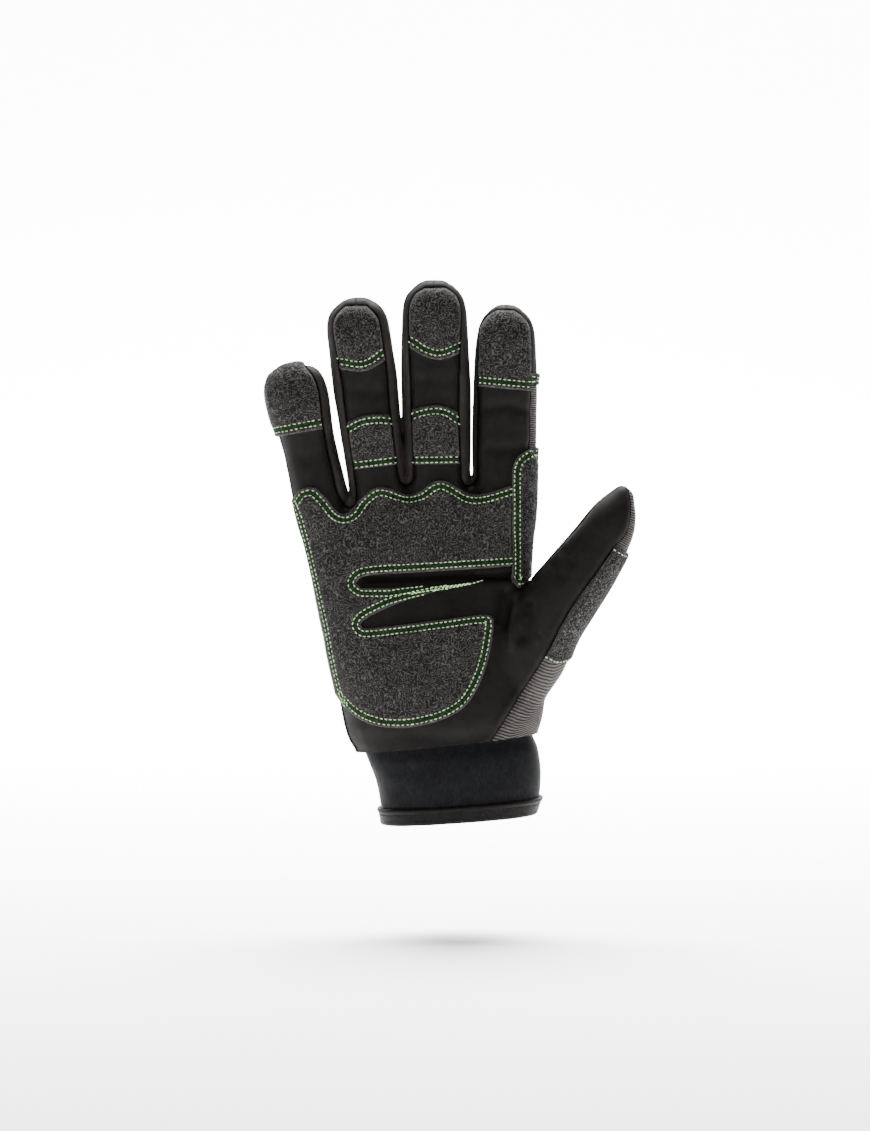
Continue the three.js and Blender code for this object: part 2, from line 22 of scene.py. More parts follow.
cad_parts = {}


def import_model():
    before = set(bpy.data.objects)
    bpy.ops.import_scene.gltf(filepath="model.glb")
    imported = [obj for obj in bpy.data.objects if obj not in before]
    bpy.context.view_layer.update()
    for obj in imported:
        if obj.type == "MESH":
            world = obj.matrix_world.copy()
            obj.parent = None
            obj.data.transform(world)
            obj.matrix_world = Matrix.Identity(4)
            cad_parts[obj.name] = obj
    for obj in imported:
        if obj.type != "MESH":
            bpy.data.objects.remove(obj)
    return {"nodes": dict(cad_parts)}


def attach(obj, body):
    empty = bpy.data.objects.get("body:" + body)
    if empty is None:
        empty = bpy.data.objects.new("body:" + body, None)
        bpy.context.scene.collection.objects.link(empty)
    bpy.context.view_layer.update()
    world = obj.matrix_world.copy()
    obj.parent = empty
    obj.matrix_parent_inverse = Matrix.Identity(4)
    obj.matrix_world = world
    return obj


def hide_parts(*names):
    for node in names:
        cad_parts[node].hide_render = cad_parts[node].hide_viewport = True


log = logging.getLogger("glove")

Point2 = tuple[float, float]
Outline = list[Point2]
Field = Callable[[np.ndarray], np.ndarray]

MM = 0.001  # metres in a millimetre
SQUARENESS = 2.5  # exponent of the rounded sections, 2 is an ellipse
FAR = 90.0  # well in front of the glove
ROOF = 260.0  # above every fingertip
MERGE = 1e-4  # vertices nearer than this are one
FRONT_SHARE = 1.6  # folds are at full depth where a face is turned less than 51 degrees from the front
CUFF_WALL = 2.4

# Hand body, wrist to knuckles: z, tilt, left, right, front, back
PALM_SECTIONS = [
    (34.6, 0.105, -47.2, 35.7, -25.0, 24.0),
    (41.0, 0.09, -51.3, 37.6, -26.0, 23.5),
    (54.0, 0.03, -54.8, 39.0, -26.2, 21.8),
    (71.0, 0.0, -59.0, 38.2, -24.2, 19.6),
    (86.0, 0.0, -61.8, 35.6, -22.0, 18.5),
    (99.0, 0.0, -64.6, 32.8, -20.0, 17.5),
    (112.0, 0.0, -67.6, 31.2, -17.8, 17.0),
    (126.0, 0.02, -71.0, 32.4, -15.8, 16.0),
    (137.0, 0.06, -74.0, 33.4, -14.2, 14.8),
    (144.0, 0.1, -72.5, 33.4, -12.4, 13.0),
    (148.6, 0.12, -66.0, 30.0, -7.0, 7.6),
]
# Thumb, from inside the palm to the tip: x, y, z, half width, half depth
THUMB_SECTIONS = [
    (16.0, -2.0, 44.0, 13.0, 13.0),
    (24.0, -4.6, 63.0, 17.6, 16.4),
    (30.6, -7.2, 77.0, 19.6, 16.2),
    (38.4, -10.0, 89.6, 16.8, 15.0),
    (46.6, -12.6, 101.6, 15.8, 13.8),
    (55.6, -15.0, 113.9, 14.6, 12.8),
    (64.7, -17.2, 127.5, 12.6, 11.6),
    (70.6, -18.6, 139.2, 9.8, 9.6),
    (75.2, -19.6, 150.6, 3.4, 3.8),
]
# Cuff, rim to just inside the hand: z, tilt, left, right, front, back
CUFF_SECTIONS = [
    (0.0, 0.07, -35.2, 34.6, -26.6, 26.6),
    (7.0, 0.07, -36.2, 36.6, -27.2, 27.2),
    (18.0, 0.08, -38.2, 37.2, -27.4, 27.2),
    (27.0, 0.1, -41.2, 35.8, -26.0, 25.0),
    (33.0, 0.105, -43.4, 33.4, -23.0, 22.0),
    (39.0, 0.105, -44.6, 33.2, -22.6, 21.6),
]
# Closed crotches between fingers: x, y, z, half width, half depth, half height
WEBS = [
    (-24.2, 0.0, 146.5, 6.0, 9.0, 7.0),
    (4.8, 0.0, 146.5, 6.0, 9.0, 7.0),
]


class Finger(Enum):
    """The four fingers that share one form."""

    PINKY = "pinky"
    RING = "ring"
    MIDDLE = "middle"
    INDEX = "index"


@dataclass(frozen=True)
class FingerForm:
    """A finger's centre line in the front view, its forward curl and its sections."""

    base: Point2
    tip: Point2
    curl: float
    sections: list[tuple[float, float, float]]  # along, half width, half depth
    left_seam: Outline
    right_seam: Outline
    crown: float  # x of the line over the tip where its side pieces meet

    def left_edge(self) -> Outline:
        """Returns the left seam as a smooth line."""
        return smooth_line(self.left_seam)

    def right_edge(self) -> Outline:
        """Returns the right seam as a smooth line."""
        return smooth_line(self.right_seam)

    def rows(self) -> np.ndarray:
        """Returns the centre line's x, y, z with half width and half depth, base to tip."""
        reach = math.dist(self.base, self.tip)
        rows = []
        for along, half_width, half_depth in self.sections:
            share = along / reach
            x = self.base[0] + (self.tip[0] - self.base[0]) * share
            z = self.base[1] + (self.tip[1] - self.base[1]) * share
            rows.append((x, self.curl * max(share, 0.0) ** 1.5, z, half_width, half_depth))
        return np.array(rows)


FINGERS = {
    Finger.PINKY: FingerForm(
        (-63.2, 144.3), (-77.0, 206.2), -7.0,
        [(-22, 9.5, 8), (-8, 12.3, 11.4), (10, 12.2, 11.4), (27, 11.8, 10.9), (38, 12.9, 11.2),
         (47, 13.7, 11), (54.5, 13.2, 9.8), (59.5, 10.6, 7.6), (63.2, 5.2, 3.4)],
        [(-95, 138), (-95, 230), (-71.6, 230)],
        [(-53, 143.4), (-56.4, 151), (-62, 178.2), (-63.4, 190), (-64.8, 197.3), (-67.4, 202.9),
         (-69.8, 206)],
        -71.6,
    ),
    Finger.RING: FingerForm(
        (-36.4, 144.3), (-48.2, 236.6), -9.0,
        [(-22, 10.5, 8.6), (-8, 12.9, 12.2), (16, 13.3, 12.2), (38, 14, 11.8), (54, 14.8, 11.9),
         (68, 14.2, 11.8), (80.5, 14, 11), (87.4, 11.8, 8.8), (92.4, 5.4, 4)],
        [(-47.4, 143), (-49, 161), (-51.8, 180), (-55.2, 205.6), (-57.8, 221), (-57, 229),
         (-52.6, 233.8)],
        [(-27.6, 155.6), (-28.6, 161), (-31.2, 181), (-33.2, 205), (-35.6, 222), (-37.4, 229),
         (-42.2, 234)],
        -47.6,
    ),
    Finger.MIDDLE: FingerForm(
        (-10.0, 144.3), (-11.9, 244.6), -9.0,
        [(-22, 11, 9), (-8, 13.9, 12.6), (18, 14.8, 12.5), (38, 15.5, 12.1), (54, 15.7, 12.2),
         (70, 15, 12.1), (86, 14.3, 11.4), (94, 12.2, 9.2), (99.6, 5.8, 4.2)],
        [(-21.5, 155.6), (-21.6, 163), (-22.4, 185), (-23.4, 215), (-23.4, 231), (-21.4, 238.4),
         (-16.4, 242)],
        [(0.7, 155), (0.4, 163), (-0.4, 185), (0.2, 215), (0.6, 231), (-1.2, 238.4), (-6.2, 242.2)],
        -11.9,
    ),
    Finger.INDEX: FingerForm(
        (19.9, 144.3), (21.0, 234.0), -8.0,
        [(-22, 11.4, 9), (-8, 13.6, 12.4), (12, 14.1, 12.4), (28, 14.4, 12), (46, 14.4, 12),
         (62, 14.1, 11.8), (76, 13.2, 10.9), (83, 11.2, 8.8), (88.6, 5.4, 4)],
        [(7.2, 155), (7.4, 163), (7.8, 195), (8.4, 221), (11.2, 228.4), (16.4, 232.2)],
        [(32, 138), (32.4, 168), (32.8, 194), (32.4, 221), (29.8, 228.2), (24.8, 232)],
        21.0,
    ),
}

THUMB_SEAM: Outline = [
    (12.8, 33.2), (38.2, 73.2), (46.6, 89.4), (54, 101.6), (61.6, 111.8), (69.8, 123.6), (73.8, 127.6),
    (76.2, 131), (77.5, 136), (77.9, 143), (77, 149), (76.4, 160),
]
# Low points of the pockets between the fingers
POCKETS: dict[tuple[Finger, Finger], Outline] = {
    (Finger.PINKY, Finger.RING): [(-52.6, 143), (-50.6, 141.4), (-48.2, 142.8)],
    (Finger.RING, Finger.MIDDLE): [(-26.6, 152.8), (-24.6, 151.9), (-22.6, 152.8)],
    (Finger.MIDDLE, Finger.INDEX): [(2, 152.3), (3.9, 151.6), (5.8, 152.3)],
}
# The leather is painted darker along this crease: painted shade where the palm folds in.
CREASE: Outline = [(-43, 108.3), (-10, 109.5), (8, 110.3), (23, 110.4)]  # middle of the palm's upper slot
CREASE_REACH = 3.4  # how many times wider its shade is than a seam's
TIP_SIDE_FOOT = 199.4  # lower end of the black side piece on the index fingertip
SEAM_MARGIN = 1.2  # leather that shows between a finger patch and its seams

# The seam between front and back, seen from the side
HAND_SEAM_Y = 2.0
FINGER_LEAN = 0.095  # how far the seam comes forward for each millimetre up the fingers
KNUCKLES = 140.0  # z where the fingers start to lean
CROTCH_X = 30.0  # x where the seam leaves the palm for the thumb
CROTCH_SLOPE = 0.6
THUMB_ROOT: Point2 = (22, 56)  # x and z
THUMB_LEAN: Point2 = (0.085, 0.123)  # how far the seam comes forward along x and z
THUMB_TOP = 160.0  # z above the thumb


# Front-view geometry


def smooth_line(points: Outline, steps: int = 4) -> Outline:
    """Runs a smooth curve through the points.

    Args:
        points: The line's points in the front view.
        steps: Points for each stretch.

    Returns:
        The curve's points, with the first and last kept.
    """
    return [tuple(row) for row in smooth_rows(np.array(points, dtype=float), steps)]


def smooth_rows(rows: np.ndarray, steps: int) -> np.ndarray:
    """Runs a Catmull-Rom curve through the rows of a table.

    Args:
        rows: One row for each section.
        steps: Rows made for each stretch between two sections.

    Returns:
        The finer table, with the first and last rows kept.
    """
    ends = np.vstack([2 * rows[0] - rows[1], rows, 2 * rows[-1] - rows[-2]])
    finer = []
    for before, start, stop, after in zip(ends, ends[1:], ends[2:], ends[3:]):
        for t in np.linspace(0, 1, steps, endpoint=False):
            straight = (stop - before) * t
            bend = (2 * before - 5 * start + 4 * stop - after) * t**2
            turn = (3 * start - before - 3 * stop + after) * t**3
            finer.append(start + (straight + bend + turn) / 2)
    finer.append(rows[-1])
    return np.array(finer)


def line_distance(points: np.ndarray, line: Outline, closed: bool = False) -> np.ndarray:
    """Measures how far points lie from a line in the front view.

    Args:
        points: Rows of x, y, z.
        line: The line's points.
        closed: Whether the last point joins the first.

    Returns:
        One distance for each point.
    """
    flat = points[:, [0, 2]]
    nearest = np.full(len(flat), np.inf)
    corners = np.array(line + line[:1] if closed else line, dtype=float)
    for start, stop in zip(corners, corners[1:]):
        edge = stop - start
        share = np.clip((flat - start) @ edge / max(edge @ edge, 1e-9), 0, 1)
        nearest = np.minimum(nearest, np.linalg.norm(flat - start - share[:, None] * edge, axis=1))
    return nearest


def inside_distance(points: np.ndarray, outline: Outline) -> np.ndarray:
    """Measures signed distances to a closed outline in the front view.

    Args:
        points: Rows of x, y, z.
        outline: The outline's corners.

    Returns:
        One distance for each point, negative inside the outline.
    """
    x, z = points[:, 0], points[:, 2]
    inside = np.zeros(len(points), dtype=bool)
    for (x0, z0), (x1, z1) in zip(outline, outline[1:] + outline[:1]):
        if z0 != z1:
            inside ^= ((z0 > z) != (z1 > z)) & (x < (x1 - x0) * (z - z0) / (z1 - z0) + x0)
    away = line_distance(points, outline, closed=True)
    return np.where(inside, -away, away)


def hollow(distance: np.ndarray, width: float | np.ndarray) -> np.ndarray:
    """Returns the share of a soft hollow's depth at each distance from its middle."""
    return np.exp(-((distance / width) ** 2))


def offset_line(line: Outline, distances: list[float]) -> Outline:
    """Moves a line sideways, to the right of its direction where the distance is positive.

    Args:
        line: The line's points.
        distances: One distance for each point.

    Returns:
        The moved points, without those that a tight bend brings too near the line.
    """
    corners = np.array(line, dtype=float)
    run = np.gradient(corners, axis=0)
    run /= np.maximum(np.linalg.norm(run, axis=1, keepdims=True), 1e-9)
    moved = corners + np.column_stack([run[:, 1], -run[:, 0]]) * np.array(distances)[:, None]
    probe = np.column_stack([moved[:, 0], np.zeros(len(moved)), moved[:, 1]])
    kept = line_distance(probe, line) > 0.9 * np.abs(distances)
    return [tuple(point) for point, keep in zip(moved, kept) if keep]


# Seams between the front, the back and the side strips


def thumb_seam_y(x: np.ndarray, z: np.ndarray, at_root: float) -> np.ndarray:
    """Works out the y of a seam that follows the thumb as it leans forward.

    Args:
        x: Each point's x.
        z: Each point's z.
        at_root: The seam's y at the thumb's root.

    Returns:
        One y for each point.
    """
    root_x, root_z = THUMB_ROOT
    lean_x, lean_z = THUMB_LEAN
    return at_root - lean_x * (x - root_x) - lean_z * (z - root_z)


def front_split(points: np.ndarray) -> np.ndarray:
    """Returns each point's distance behind the seam between front and back."""
    x, y, z = points.T
    hand = HAND_SEAM_Y - FINGER_LEAN * np.maximum(z - KNUCKLES, 0)
    crotch = HAND_SEAM_Y - CROTCH_SLOPE * (x - CROTCH_X)
    thumb = thumb_seam_y(x, z, -HAND_SEAM_Y)
    return y - np.where((x < CROTCH_X) | (z > THUMB_TOP), hand, np.maximum(crotch, thumb))


def front_outline() -> Outline:
    """Returns the front-view outline of the one-piece leather front."""
    outline = [(-95, 20), (12.8, 20), *smooth_line(THUMB_SEAM), (37, 160)]
    outline += [point for point in FINGERS[Finger.INDEX].right_edge() if point[1] > 166]
    for (first, second), low in reversed(POCKETS.items()):
        outline += reversed(FINGERS[second].left_edge())
        outline += reversed(low)
        outline += FINGERS[first].right_edge()
    return outline + [(FINGERS[Finger.PINKY].crown, 230), (-95, 230)]


def front_field(points: np.ndarray) -> np.ndarray:
    """Returns how far each point lies outside the leather front, negative on it."""
    return np.maximum(inside_distance(points, front_outline()), front_split(points))


def pocket_field(pocket: tuple[Finger, Finger]) -> Field:
    """Makes the field of the space between two fingers, where their side strip lies.

    Args:
        pocket: The fingers on its left and right.

    Returns:
        A field that is negative between the two seams and over both fingertips.
    """
    first, second = pocket
    right, left = FINGERS[first].right_edge(), FINGERS[second].left_edge()
    from_x, to_x = FINGERS[first].crown, FINGERS[second].crown
    over_tips = [(to_x, left[-1][1]), (to_x, ROOF), (from_x, ROOF), (from_x, right[-1][1])]
    outline = [*POCKETS[pocket], *left, *over_tips, *reversed(right)]
    return lambda points: inside_distance(points, outline)


def tip_side_field(points: np.ndarray) -> np.ndarray:
    """Returns how far each point lies outside the black side piece of the index fingertip."""
    index = FINGERS[Finger.INDEX]
    seam = [(x - 0.6, z) for x, z in index.right_edge() if z > TIP_SIDE_FOOT]
    outline = [(seam[0][0], TIP_SIDE_FOOT), (FAR, TIP_SIDE_FOOT), (FAR, ROOF), (index.crown, ROOF),
               (index.crown, seam[-1][1]), *reversed(seam)]
    return inside_distance(points, outline)


# Mesh helpers


@dataclass(frozen=True)
class Ring:
    """One rounded section of a tube."""

    centre: Vector
    across: Vector
    deep: Vector
    half_width: float
    half_depth: float

    def point(self, share: float) -> Vector:
        """Returns the point at a share of the way round."""
        angle = 2 * math.pi * share
        cosine, sine = math.cos(angle), math.sin(angle)
        u = math.copysign(abs(cosine) ** (2 / SQUARENESS), cosine) * self.half_width
        v = math.copysign(abs(sine) ** (2 / SQUARENESS), sine) * self.half_depth
        return self.centre + self.across * u + self.deep * v


def level_rings(table: list[tuple[float, ...]], steps: int, grow: float = 0.0) -> list[Ring]:
    """Makes the nearly level sections of the palm or the cuff.

    Args:
        table: Rows of z, tilt, left, right, front, back.
        steps: Sections for each stretch of the table.
        grow: How far each section is moved out.

    Returns:
        The sections, bottom to top.
    """
    rings = []
    for z, tilt, left, right, front, back in smooth_rows(np.array(table), steps):
        centre = Vector(((left + right) / 2, (front + back) / 2, z))
        half = ((right - left) / 2 + grow, (back - front) / 2 + grow)
        rings.append(Ring(centre, Vector((1, 0, tilt)), Vector((0, 1, 0)), *half))
    return rings


def spine_rings(rows: np.ndarray, steps: int, grow: float = 0.0) -> list[Ring]:
    """Makes sections square to a centre line.

    Args:
        rows: Rows of x, y, z, half width, half depth.
        steps: Sections for each stretch of the table.
        grow: How far each section is moved out.

    Returns:
        The sections, root to tip.
    """
    finer = smooth_rows(rows, steps)
    centres = [Vector(row[:3]) for row in finer]
    rings = []
    for index, (centre, row) in enumerate(zip(centres, finer)):
        run = centres[min(index + 1, len(centres) - 1)] - centres[max(index - 1, 0)]
        run.normalize()
        across = Vector((0, 1, 0)).cross(run).normalized()
        rings.append(Ring(centre, across, run.cross(across), float(row[3]) + grow, float(row[4]) + grow))
    return rings


def tube(rings: list[Ring], sides: int, capped: bool = True) -> bmesh.types.BMesh:
    """Wraps a grid round the sections and joins it into a tube.

    Args:
        rings: The sections in order.
        sides: Faces round each section.
        capped: Whether the ends are closed.

    Returns:
        The tube, with its faces pointing outwards.
    """
    bm = bmesh.new()
    last = len(rings) - 1
    bmesh.ops.create_grid(bm, x_segments=sides, y_segments=last, size=1.0)
    for vert in bm.verts:
        ring = rings[round((vert.co.y + 1) / 2 * last)]
        vert.co = ring.point((vert.co.x + 1) / 2)
    bmesh.ops.remove_doubles(bm, verts=bm.verts, dist=MERGE)
    if capped:
        bmesh.ops.holes_fill(bm, edges=[edge for edge in bm.edges if edge.is_boundary])
    bmesh.ops.recalc_face_normals(bm, faces=bm.faces)
    return bm


def join(parts: list[bmesh.types.BMesh]) -> bmesh.types.BMesh:
    """Puts several meshes into one.

    Args:
        parts: The meshes, which are freed.

    Returns:
        One mesh with all their faces.
    """
    whole = bmesh.new()
    for part in parts:
        mesh = bpy.data.meshes.new("part")
        part.to_mesh(mesh)
        part.free()
        whole.from_mesh(mesh)
        bpy.data.meshes.remove(mesh)
    return whole


def remeshed(bm: bmesh.types.BMesh, voxel: float) -> bmesh.types.BMesh:
    """Fuses overlapping closed forms into one even skin.

    Args:
        bm: The forms, which are freed.
        voxel: Edge length of the new faces.

    Returns:
        The fused skin.
    """
    mesh = bpy.data.meshes.new("forms")
    bm.to_mesh(mesh)
    bm.free()
    obj = bpy.data.objects.new("forms", mesh)
    bpy.context.scene.collection.objects.link(obj)
    modifier = obj.modifiers.new("Remesh", "REMESH")
    modifier.mode = "VOXEL"
    modifier.voxel_size = voxel
    graph = bpy.context.evaluated_depsgraph_get()
    fused = bmesh.new()
    fused.from_mesh(obj.evaluated_get(graph).to_mesh())
    bpy.data.objects.remove(obj)
    bpy.data.meshes.remove(mesh)
    return fused


def smoothed(bm: bmesh.types.BMesh, factor: float) -> None:
    """Smooths a mesh once, in place, by a share of the way to each vertex's neighbours."""
    bmesh.ops.smooth_vert(bm, verts=bm.verts, factor=factor, use_axis_x=True, use_axis_y=True,
                          use_axis_z=True)


def points_of(bm: bmesh.types.BMesh) -> np.ndarray:
    """Returns the vertices' places."""
    return np.array([vert.co for vert in bm.verts])


def rest_of(bm: bmesh.types.BMesh) -> np.ndarray:
    """Returns the vertices' places on the plain skin, before folds were pressed in."""
    layer = bm.verts.layers.float_vector["rest"]
    return np.array([vert[layer] for vert in bm.verts])


def face_rest(bm: bmesh.types.BMesh) -> np.ndarray:
    """Returns the faces' middles on the plain skin."""
    layer = bm.verts.layers.float_vector["rest"]
    middles = []
    for face in bm.faces:
        total = Vector((0, 0, 0))
        for vert in face.verts:
            total += vert[layer]
        middles.append(total / len(face.verts))
    return np.array(middles)


SNAP = 0.15  # a cut nearer to an edge's end than this share moves that end onto it


def cut_along(bm: bmesh.types.BMesh, region: Field) -> None:
    """Splits the faces along a region's border, so that each lies on one side of it.

    Args:
        bm: A mesh with a rest layer, cut in place.
        region: A field that is negative inside the region.
    """
    rest = bm.verts.layers.float_vector["rest"]
    bm.verts.index_update()
    values = region(rest_of(bm))
    on_border: set[bmesh.types.BMVert] = set()
    for edge in bm.edges:
        start, stop = edge.verts
        first, second = values[start.index], values[stop.index]
        if first * second >= 0:
            continue
        share = first / (first - second)
        if share < SNAP or share > 1 - SNAP:
            near, far = (start, stop) if share < 0.5 else (stop, start)
            step = share if share < 0.5 else 1 - share
            near.co = near.co.lerp(far.co, step)
            near[rest] = near[rest].lerp(far[rest], step)
            values[near.index] = 0.0
            on_border.add(near)
    crossing = [edge for edge in bm.edges if values[edge.verts[0].index] * values[edge.verts[1].index] < 0]
    for edge in crossing:
        start, stop = edge.verts
        first, second = values[start.index], values[stop.index]
        share = first / (first - second)
        place, at_rest = start.co.lerp(stop.co, share), start[rest].lerp(stop[rest], share)
        vert = bmesh.utils.edge_split(edge, start, share)[1]
        vert.co, vert[rest] = place, at_rest
        on_border.add(vert)
    touched = {face for vert in on_border for face in vert.link_faces}
    for face in touched:
        ends = [vert for vert in face.verts if vert in on_border]
        if len(ends) == 2 and not any(edge.other_vert(ends[0]) is ends[1] for edge in ends[0].link_edges):
            bmesh.utils.face_split(face, ends[0], ends[1])


def part_of(bm: bmesh.types.BMesh, keep: np.ndarray) -> bmesh.types.BMesh:
    """Copies some of a mesh's faces.

    Args:
        bm: The whole mesh.
        keep: Whether each face is kept.

    Returns:
        A new mesh with the kept faces.
    """
    part = bm.copy()
    drop = [face for face, kept in zip(part.faces, keep) if not kept]
    bmesh.ops.delete(part, geom=drop, context="FACES")
    return part


def thickened(bm: bmesh.types.BMesh, low: np.ndarray, high: np.ndarray) -> bmesh.types.BMesh:
    """Makes a closed wall from an open skin.

    Args:
        bm: The skin, turned into the wall in place.
        low: How far the under side lies out along each vertex's normal.
        high: The same for the upper side.

    Returns:
        The wall.
    """
    index = bm.verts.layers.int.new("source")
    bm.normal_update()
    under = list(bm.verts)
    normals = [vert.normal.copy() for vert in under]
    starts = [vert.co.copy() for vert in under]
    for number, vert in enumerate(under):
        vert[index] = number
    geom = bm.verts[:] + bm.edges[:] + bm.faces[:]
    made = bmesh.ops.extrude_face_region(bm, geom=geom, use_keep_orig=True)["geom"]
    for number, vert in enumerate(under):
        vert.co = starts[number] + normals[number] * float(low[number])
    for vert in made:
        if isinstance(vert, bmesh.types.BMVert):
            number = vert[index]
            vert.co = starts[number] + normals[number] * float(high[number])
    bmesh.ops.recalc_face_normals(bm, faces=bm.faces)
    bm.verts.layers.int.remove(index)
    return bm


def store(bm: bmesh.types.BMesh, name: str, values: np.ndarray) -> None:
    """Keeps one number for each vertex, for a material to read.

    Args:
        bm: The mesh.
        name: The attribute's name.
        values: The numbers, in the vertices' order.
    """
    layer = bm.verts.layers.float.get(name) or bm.verts.layers.float.new(name)
    for vert, value in zip(bm.verts, values):
        vert[layer] = float(value)


def finished(bm: bmesh.types.BMesh, name: str, material: bpy.types.Material) -> bpy.types.Object:
    """Turns a mesh into a piece in metres that rides on the glove.

    Args:
        bm: The mesh in millimetres, which is freed.
        name: The piece's name.
        material: Its finish.

    Returns:
        The piece.
    """
    layer = bm.verts.layers.float_vector.get("rest")
    if layer:
        bm.verts.layers.float_vector.remove(layer)
    mesh = bpy.data.meshes.new(name)
    for face in bm.faces:
        face.smooth = True
    bm.to_mesh(mesh)
    bm.free()
    mesh.transform(Matrix.Scale(MM, 4))
    mesh.materials.append(material)
    piece = bpy.data.objects.new(name, mesh)
    bpy.context.scene.collection.objects.link(piece)
    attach(piece, "root")
    triangles = sum(len(face.vertices) - 2 for face in mesh.polygons)
    area = sum(face.area for face in mesh.polygons)
    log.info("%s: %d triangles, %.5f square metres on one side", name, triangles, area / 2)
    return piece


# Skin of the whole hand


@dataclass(frozen=True)
class Fold:
    """A soft valley along a front-view line, or a ridge where its depth is negative."""

    line: Outline
    width: float
    depth: float

    def height(self, points: np.ndarray) -> np.ndarray:
        """Returns how far the fold moves each point out."""
        return -self.depth * hollow(line_distance(points, self.line), self.width)


@dataclass
class HandSkin:
    """The outer skin of the hand, cut along its seams and folded."""

    voxel: float = 1.0
    smoothing: int = 14
    sides: int = 72
    steps: int = 5
    overrun: float = 6.0
    slimmer: float = 0.7
    shrinkage: float = 0.12
    seam_depth: float = 0.6
    seam_width: float = 0.9
    seam_roll: float = 0.35
    roll_place: float = 3.0  # in seam widths
    roll_width: float = 1.6
    foot: float = 0.8  # how far the skin reaches below its first section
    wander: float = 0.22
    wander_sizes: tuple[float, float] = (17.0, 8.0)
    folds: list[Fold] = field(default_factory=lambda: [
        Fold([(9, 110.2), (25, 109.8)], 1.6, 1.6),
        Fold([(24.6, 101.5), (23.9, 92), (22.4, 79)], 1.7, -1.6),
        Fold([(20.8, 103), (19.6, 96), (18.2, 90)], 3.0, 2.1),
        Fold([(29.8, 98), (30.2, 92), (28.8, 84)], 3.4, 2.3),
        Fold([(35.6, 82), (36.4, 75)], 2.2, -0.7),
        Fold([(21, 78), (24, 68), (27, 60)], 5.0, 1.0),
        Fold([(13, 187), (22, 188.6), (32, 185.4)], 2.6, 0.8),
        Fold([(14, 168.4), (32, 169)], 2.6, 0.6),
        Fold([(-70, 164), (-60, 166)], 3.0, 0.5),
        Fold([(-56, 196), (-36, 194)], 3.0, 0.4),
        Fold([(-22, 200), (-2, 199)], 3.2, 0.4),
        Fold([(47, 122), (51, 117)], 2.0, 0.6),
        Fold([(42, 116), (46, 111)], 2.0, 0.6),
        Fold([(-40, 36), (-20, 38.5), (0, 37), (12, 39)], 3.0, 0.7),
        Fold([(-44, 40), (-38, 46)], 3.0, -0.5),
    ])

    def build(self) -> bmesh.types.BMesh:
        """Returns the skin, open at the wrist, with its rest layer."""
        palm = level_rings(PALM_SECTIONS, self.steps, -self.slimmer)
        low = palm[0]
        lower = Ring(low.centre - Vector((0, 0, self.overrun)), low.across, low.deep, low.half_width,
                     low.half_depth)
        spines = [np.array(THUMB_SECTIONS), *(form.rows() for form in FINGERS.values())]
        parts = [tube([lower, *palm], self.sides)]
        parts += [tube(spine_rings(rows, self.steps, -self.slimmer), self.sides) for rows in spines]
        for x, y, z, half_width, half_depth, half_height in WEBS:
            web = bmesh.new()
            size = Matrix.Diagonal((half_width, half_depth, half_height, 1))
            bmesh.ops.create_uvsphere(web, u_segments=24, v_segments=16, radius=1,
                                      matrix=Matrix.Translation((x, y, z)) @ size)
            parts.append(web)
        skin = remeshed(join(parts), self.voxel)
        for _ in range(self.smoothing):
            smoothed(skin, 0.5)
        skin.normal_update()
        for vert, normal in [(vert, vert.normal.copy()) for vert in skin.verts]:
            vert.co += normal * (self.slimmer + self.shrinkage)
        downwards = Vector((1, 0, low.across.z)).cross(Vector((0, 1, 0)))
        bmesh.ops.bisect_plane(skin, geom=skin.verts[:] + skin.edges[:] + skin.faces[:],
                               plane_co=low.centre - Vector((0, 0, self.foot)), plane_no=downwards,
                               clear_inner=True)
        rest = skin.verts.layers.float_vector.new("rest")
        for vert in skin.verts:
            vert[rest] = vert.co
        for region in [front_field, *map(pocket_field, POCKETS), tip_side_field]:
            cut_along(skin, region)
        self.press(skin)
        return skin

    def press(self, skin: bmesh.types.BMesh) -> None:
        """Presses the folds and the seams' grooves into the skin, in place."""
        skin.normal_update()
        points = rest_of(skin)
        normals = np.array([vert.normal for vert in skin.verts])
        facing = np.clip(-normals[:, 1] * FRONT_SHARE, 0, 1)
        height = facing * sum(fold.height(points) for fold in self.folds)
        seam = seam_distance(points)
        groove = -self.seam_depth * hollow(seam, self.seam_width)
        beside = seam - self.roll_place * self.seam_width
        roll = self.seam_roll * hollow(beside, self.roll_width * self.seam_width)
        height += groove + roll
        broad, fine = self.wander_sizes
        apart = Vector((9, 4, 2))  # keeps the finer pattern off the broad one
        for vert, normal, rise in zip(skin.verts, normals, height):
            drift = noise.noise(vert.co / broad) + 0.5 * noise.noise(vert.co / fine + apart)
            vert.co += Vector(normal) * (float(rise) + self.wander * drift)


def seam_distance(points: np.ndarray) -> np.ndarray:
    """Returns how far each point lies from the nearest seam between panels."""
    index_seam = FINGERS[Finger.INDEX].right_edge()
    lines = [[(31.4, TIP_SIDE_FOOT), (FAR, TIP_SIDE_FOOT)],
             [(x, z) for x, z in index_seam if z > TIP_SIDE_FOOT]]
    for (first, second), low in POCKETS.items():
        lines.append([*reversed(FINGERS[first].right_edge()), *low, *FINGERS[second].left_edge()])
    behind = np.min([line_distance(points, line) for line in lines], axis=0)
    front = front_field(points)
    return np.where(front < 0, -front, np.minimum(behind, front))


def shade_distance(points: np.ndarray) -> np.ndarray:
    """Returns the seam distance that the leather's painted shade follows, small in the palm's deep crease
    too.
    """
    return np.minimum(seam_distance(points), line_distance(points, CREASE) / CREASE_REACH)


